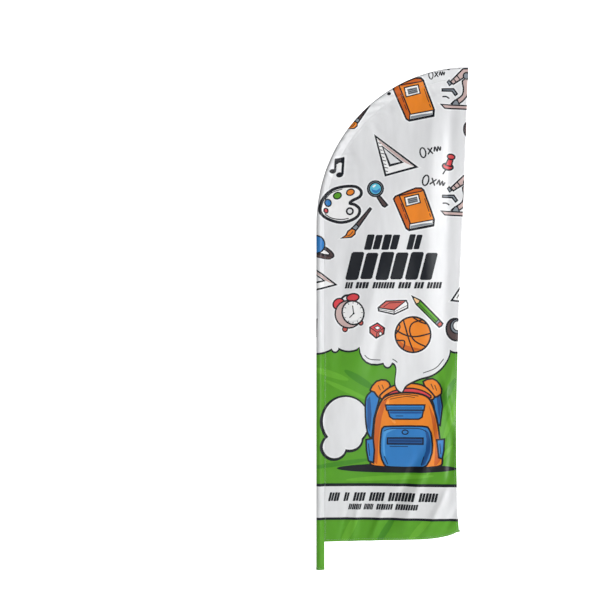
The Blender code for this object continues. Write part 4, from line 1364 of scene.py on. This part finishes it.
# ================================================================ the stitching
# Lockstitch in white polyester thread, two rows on the seam and one on each hem, alike on both faces. Each
# stitch is a small bead of thread, 3.4 mm long, in every 4.2 mm of its row.
def add_shades(tree, shader, source, out, dark, pale, low=0.0, high=1.0):
    """Colours the surface from dark, where the source is low, to pale, where it is high."""
    shades = add(tree, "ShaderNodeValToRGB")
    first, last = shades.color_ramp.elements
    first.color, last.color = (*dark, 1), (*pale, 1)
    first.position, last.position = low, high
    wire(tree, source, out, shades, "Fac")
    wire(tree, shades, "Color", shader, "Base Color")


def make_thread():
    made, tree, shader = new_material("white_thread", Roughness=0.5, Sheen_Weight=0.3)
    place = add(tree, "ShaderNodeTexCoord")
    fibre = add(tree, "ShaderNodeTexNoise", Scale=900.0)
    wire(tree, place, "Object", fibre, "Vector")
    add_shades(tree, shader, fibre, "Fac", (0.56, 0.57, 0.58), (0.80, 0.81, 0.82))
    return made


def make_stitch_tree():
    """Rows of stitches along the input's edges, one in every pitch."""
    tree = bpy.data.node_groups.new("stitch_rows", "GeometryNodeTree")
    face = tree.interface
    face.new_socket("Rows", in_out="INPUT", socket_type="NodeSocketGeometry")
    for name in ("Pitch", "Length", "Thread"):
        face.new_socket(name, in_out="INPUT", socket_type="NodeSocketFloat")
    face.new_socket("Material", in_out="INPUT", socket_type="NodeSocketMaterial")
    face.new_socket("Stitches", in_out="OUTPUT", socket_type="NodeSocketGeometry")
    given, made = add(tree, "NodeGroupInput"), add(tree, "NodeGroupOutput")
    line = add(tree, "GeometryNodeMeshToCurve")
    spots = add(tree, "GeometryNodeCurveToPoints")
    spots.mode = "LENGTH"
    stitch = add(tree, "GeometryNodeMeshIcoSphere", Radius=0.5, Subdivisions=1)
    size = add(tree, "ShaderNodeCombineXYZ")
    place = add(tree, "GeometryNodeInstanceOnPoints")
    real = add(tree, "GeometryNodeRealizeInstances")
    soft = add(tree, "GeometryNodeSetShadeSmooth")
    finish = add(tree, "GeometryNodeSetMaterial")
    wire(tree, given, "Rows", line, "Mesh")
    wire(tree, line, "Curve", spots, "Curve")
    wire(tree, given, "Pitch", spots, "Length")
    wire(tree, given, "Thread", size, "X")
    wire(tree, given, "Thread", size, "Y")
    wire(tree, given, "Length", size, "Z")
    wire(tree, spots, "Points", place, "Points")
    wire(tree, spots, "Rotation", place, "Rotation")
    wire(tree, stitch, "Mesh", place, "Instance")
    wire(tree, size, "Vector", place, "Scale")
    wire(tree, place, "Instances", real, "Geometry")
    wire(tree, real, "Geometry", soft, "Geometry")
    wire(tree, soft, "Geometry", finish, "Geometry")
    wire(tree, given, "Material", finish, "Material")
    wire(tree, finish, "Geometry", made, "Stitches")
    return tree


THREAD = make_thread()
STITCH_TREE = make_stitch_tree()


def sew(name, rows, pitch=0.0042, length=0.0034, thread=0.0007):
    """Stitches along rows of points, as one plain mesh."""
    points, edges = [], []
    for row in rows:
        edges += [(len(points) + i, len(points) + i + 1) for i in range(len(row) - 1)]
        points += row
    path = bpy.data.meshes.new(name + "_path")
    path.from_pydata(points, edges, [])
    guide = bpy.data.objects.new(name + "_guide", path)
    scene.collection.objects.link(guide)
    work = guide.modifiers.new("stitches", "NODES")
    work.node_group = STITCH_TREE
    values = {"Pitch": pitch, "Length": length, "Thread": thread, "Material": THREAD}
    for socket in STITCH_TREE.interface.items_tree:
        if socket.in_out == "INPUT" and socket.name in values:
            work[socket.identifier] = values[socket.name]
    seen = guide.evaluated_get(bpy.context.evaluated_depsgraph_get())
    mesh = bpy.data.meshes.new_from_object(seen)
    mesh.name = name
    bpy.data.objects.remove(guide)
    bpy.data.meshes.remove(path)
    stitches = bpy.data.objects.new(name, mesh)
    scene.collection.objects.link(stitches)
    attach(stitches, "tip_section")
    return stitches


THREAD_PROUD = 0.0001  # a row's middle over its cloth
SEAM_ROWS = (0.0012, 0.0062)  # behind the seam's start
HEM_ROW = 0.0022  # from a hem's inner edge
ROW_END = 0.002  # a row starts and stops this far inside its hem


def on_seam(side, x, z):
    return x, side * (seam_half(x, z) + THREAD_PROUD), z


def on_hem(face, side, x, z):
    x, y, z = face(side)(x, z)
    return x, y + side * THREAD_PROUD, z


seam_rows, hem_rows = [], []
for side in (-1, 1):
    for beyond in SEAM_ROWS:
        heights = [between(TAIL_LENGTH + 0.004, ARC_START, i / 160) for i in range(160)]
        row = [on_seam(side, SLEEVE_WIDTH + beyond - LEAD, z) for z in heights]
        turns = [(math.pi / 2 - 0.004) * i / 129 for i in range(130)]
        row += [on_seam(side, *on_arc(turn, at_sleeve_seam(turn) + beyond)) for turn in turns]
        seam_rows.append(row)
    heights = [between(FLY_HEM_FOOT + ROW_END, FLY_HEM_TOP - ROW_END, i / 299) for i in range(300)]
    hem_rows.append([on_hem(fly_hem_face, side, fly_edge(z) - HEM_WIDTH + HEM_ROW, z) for z in heights])
    widths = [between(SAIL_LEFT + ROW_END, fly_edge(CORNER_Z) - ROW_END, i / 119) for i in range(120)]
    hem_rows.append([on_hem(foot_hem_face, side, x, foot_edge(x) + HEM_WIDTH - HEM_ROW) for x in widths])
    widths = [between(-LEAD, TAIL_BACK, i / 40) for i in range(41)]
    hem_rows.append([tail_hem_face(side)(x, TAIL_HEM_TOP - HEM_ROW) for x in widths])
# and the one that closes the tail, behind the pole
heights = [between(0.014, TAIL_LENGTH - ROW_END, i / 20) for i in range(21)]
hem_rows.append([(TAIL_BACK - 0.0002, 0.0, z) for z in heights])
seam_stitches = sew("seam_stitches", seam_rows)
hem_stitches = sew("hem_stitches", hem_rows)


# ================================================================ the strap in the tail
# Black nylon webbing with hook-and-loop faces, drawn round the lower tube inside the tail and closed on
# itself. A sewn tab holds it to the tail, so that the flag can't climb the pole.
STRAP_BOTTOM, STRAP_TOP = 0.106, 0.126
STRAP_THICK = 0.0011
STRAP_RADIUS, LAP_RADIUS = 0.01335, 0.01465  # of its middle, on the tube and where it lies on itself
STRAP_START, LAP_START, STRAP_END = (math.radians(angle) for angle in (-28, 332, 388))
LAP_CLIMB = math.radians(28)  # the angle over which it climbs on its own start
TAB_START, TAB_END = 0.01545, 0.02285
TAB_THICK = 0.0010
TAB_FRONT, TAB_BACK = -0.0006, 0.0009  # y of the stitches on its two faces


def make_webbing():
    made, tree, shader = new_material("black_webbing_weave", Roughness=0.8, Sheen_Weight=0.25)
    place = add(tree, "ShaderNodeUVMap")
    place.uv_map = "flat_cut"
    weave = add_weave(tree, place, ("Y", 200.0), ("X", 130.0))
    add_shades(tree, shader, weave, "Value", (0.008, 0.008, 0.009), (0.045, 0.045, 0.048))
    add_bump(tree, shader, weave, "Value", 0.6, 0.0003)
    return made


WEBBING = make_webbing()


def webbing_piece(name, points, faces, flat):
    """A piece of webbing from its points, its faces and its points' places on the flat web."""
    mesh = bpy.data.meshes.new(name)
    mesh.from_pydata(points, [], faces, shade_flat=False)
    layer = mesh.uv_layers.new(name="flat_cut")
    for loop in mesh.loops:
        layer.data[loop.index].uv = flat[loop.vertex_index]
    shape = bmesh.new()
    shape.from_mesh(mesh)
    bmesh.ops.recalc_face_normals(shape, faces=shape.faces)
    shape.to_mesh(mesh)
    shape.free()
    mesh.materials.append(WEBBING)
    made = bpy.data.objects.new(name, mesh)
    scene.collection.objects.link(made)
    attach(made, "tip_section")
    return made


def ring_faces(rows, count):
    """The faces between neighbouring rings of count points each."""
    return [
        (i * count + k, (i + 1) * count + k, (i + 1) * count + (k + 1) % count, i * count + (k + 1) % count)
        for i in range(rows - 1)
        for k in range(count)
    ]


def ribbon(name, line, bottom, top, thick, rows=8):
    """A closed band that stands on a line of (x, y) points, with soft selvedges."""
    section = []
    for i in range(rows + 1):
        swell = math.sqrt(math.sin(math.pi * between(0.06, 0.94, i / rows)))
        section.append((between(bottom, top, i / rows), thick / 2 * (0.45 + 0.55 * swell)))
    ring = section + [(z, -h) for z, h in section[::-1]]
    points, flat = [], []
    run = 0.0
    for i, (x, y) in enumerate(line):
        a, b = Vector(line[max(i - 1, 0)]), Vector(line[min(i + 1, len(line) - 1)])
        way = (b - a).normalized()
        if i:
            run += (Vector(line[i]) - Vector(line[i - 1])).length
        for z, h in ring:
            points.append((x + way[1] * h, y - way[0] * h, z))
            flat.append((run, z))
    count = len(ring)
    faces = ring_faces(len(line), count)
    faces.append(tuple(range(count)))
    faces.append(tuple(range((len(line) - 1) * count, len(line) * count))[::-1])
    made = webbing_piece(name, points, faces, flat)
    made.data.set_sharp_from_angle(angle=math.radians(50))
    return made


strap_line = []
for i in range(141):
    angle = between(STRAP_START, STRAP_END, i / 140)
    climb = smooth_step(1 - (LAP_START - angle) / LAP_CLIMB)
    radius = between(STRAP_RADIUS, LAP_RADIUS, climb) + 0.00010 * math.sin(7 * angle)
    strap_line.append((radius * math.cos(angle), radius * math.sin(angle)))
strap = ribbon("cinch_strap_web", strap_line, STRAP_BOTTOM, STRAP_TOP, STRAP_THICK)
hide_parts("cinch_strap")
tab_line = [(between(TAB_START, TAB_END, i / 10), 0.0003 * math.sin(math.pi * i / 10)) for i in range(11)]
tab = ribbon("strap_tab_web", tab_line, STRAP_BOTTOM + 0.002, STRAP_TOP - 0.002, TAB_THICK)
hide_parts("strap_tab")
box = [(0.0170, 0.110), (0.0215, 0.110), (0.0215, 0.122), (0.0170, 0.122), (0.0170, 0.110)]
tab_box = [
    [(ax, y, az), (bx, y, bz)]
    for y in (TAB_FRONT, TAB_BACK)
    for (ax, az), (bx, bz) in zip(box, box[1:])
]
tab_stitches = sew("tab_stitches", tab_box, 0.0022, 0.0018, 0.0005)


# ================================================================ the pocket at the tip
# A black woven lining inside the sleeve's last stretch, sewn shut at the end. It takes the thrust of the rod,
# whose rubber cap lies between its two layers.
POCKET_TURN = 0.14  # how far round the head it reaches
POCKET_NARROWER, POCKET_FLATTER = 0.013, 0.0028  # than the sleeve round it
POCKET_INSET = 0.0014


def make_pocket():
    rows = []
    shares = [k / 12 for k in range(13)]
    for i in range(15):
        turn = math.pi / 2 - POCKET_TURN * (1 - i / 14)
        width, depth = sleeve_size(turn)
        ring = []
        for side in (-1, 1):
            for share in shares if side < 0 else shares[-2:0:-1]:
                a, y = wrap(share, width - POCKET_NARROWER, depth - POCKET_FLATTER, 0.0004)
                x, z = on_arc(turn, a + POCKET_INSET)
                ring.append((x, -side * y, z))
        rows.append(ring)
    count = len(rows[0])
    points = [p for row in rows for p in row]
    faces = ring_faces(len(rows), count)
    # its end is sewn shut
    centre = sum((Vector(p) for p in rows[-1]), Vector()) / count + Vector((-0.0006, 0, 0))
    points.append(tuple(centre))
    last = (len(rows) - 1) * count
    faces += [(last + k, last + (k + 1) % count, len(points) - 1) for k in range(count)]
    made = webbing_piece("tip_pocket_lining", points, faces, [(x, z + 2 * y) for x, y, z in points])
    wall = made.modifiers.new("wall", "SOLIDIFY")
    wall.thickness = 0.0006
    wall.offset = -1
    return made


pocket = make_pocket()
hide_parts("tip_pocket")


# ================================================================ the pole and its foot
# Drawn and anodised aluminium tubes, a pultruded fibreglass tip, and moulded plastic, rubber and spring steel
# at the joints and the foot. Their solids stay as they are.
def finish(name, dark, pale, roughness, scale, metallic=0.0, along=1.0, bump=0.0):
    """A finish with a grain, drawn out along the pole. The colour and the roughness drift with it."""
    made, tree, shader = new_material(name, Metallic=metallic)
    place = add(tree, "ShaderNodeTexCoord")
    stretch = add(tree, "ShaderNodeMapping", Scale=(1, 1, along))
    grain = add(tree, "ShaderNodeTexNoise", Scale=scale, Detail=4.0)
    wire(tree, place, "Object", stretch, "Vector")
    wire(tree, stretch, "Vector", grain, "Vector")
    add_shades(tree, shader, grain, "Fac", dark, pale, 0.3, 0.7)
    rough = add(tree, "ShaderNodeMapRange", To_Min=roughness - 0.08, To_Max=roughness + 0.08)
    wire(tree, grain, "Fac", rough, "Value")
    wire(tree, rough, "Result", shader, "Roughness")
    if bump:
        add_bump(tree, shader, grain, "Fac", 0.4, bump)
    return made


drawn_aluminium = finish(
    "drawn_aluminium", (0.60, 0.61, 0.62), (0.78, 0.79, 0.80), 0.32, 900.0,
    metallic=1.0, along=0.012, bump=0.00002,
)
rivet_aluminium = finish(
    "rivet_aluminium", (0.55, 0.56, 0.57), (0.75, 0.76, 0.77), 0.38, 700.0, metallic=1.0, bump=0.00002
)
spring_steel = finish(
    "bright_spring_steel", (0.40, 0.41, 0.43), (0.60, 0.61, 0.63), 0.26, 800.0, metallic=1.0
)
acetal = finish("moulded_acetal", (0.018, 0.018, 0.020), (0.040, 0.040, 0.044), 0.45, 1400.0, bump=0.00004)
fibreglass = finish(
    "pultruded_fibreglass", (0.60, 0.61, 0.56), (0.80, 0.81, 0.77), 0.36, 1100.0, along=0.03, bump=0.00003
)
rubber = finish("moulded_rubber", (0.012, 0.012, 0.012), (0.030, 0.030, 0.030), 0.78, 900.0, bump=0.00004)
FINISHES = {
    ("lower_tube", "upper_tube"): drawn_aluminium,
    ("housing_rivet_front", "housing_rivet_back"): rivet_aluminium,
    ("bush_clip",): spring_steel,
    ("peg_bush", "bush_housing", "upper_stop_collar", "tip_stop_collar", "butt_ferrule"): acetal,
    ("tip_butt", "tip_rod"): fibreglass,
    ("tip_cap",): rubber,
}
for names, look in FINISHES.items():
    for name in names:
        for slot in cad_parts[name].material_slots:
            slot.material = look
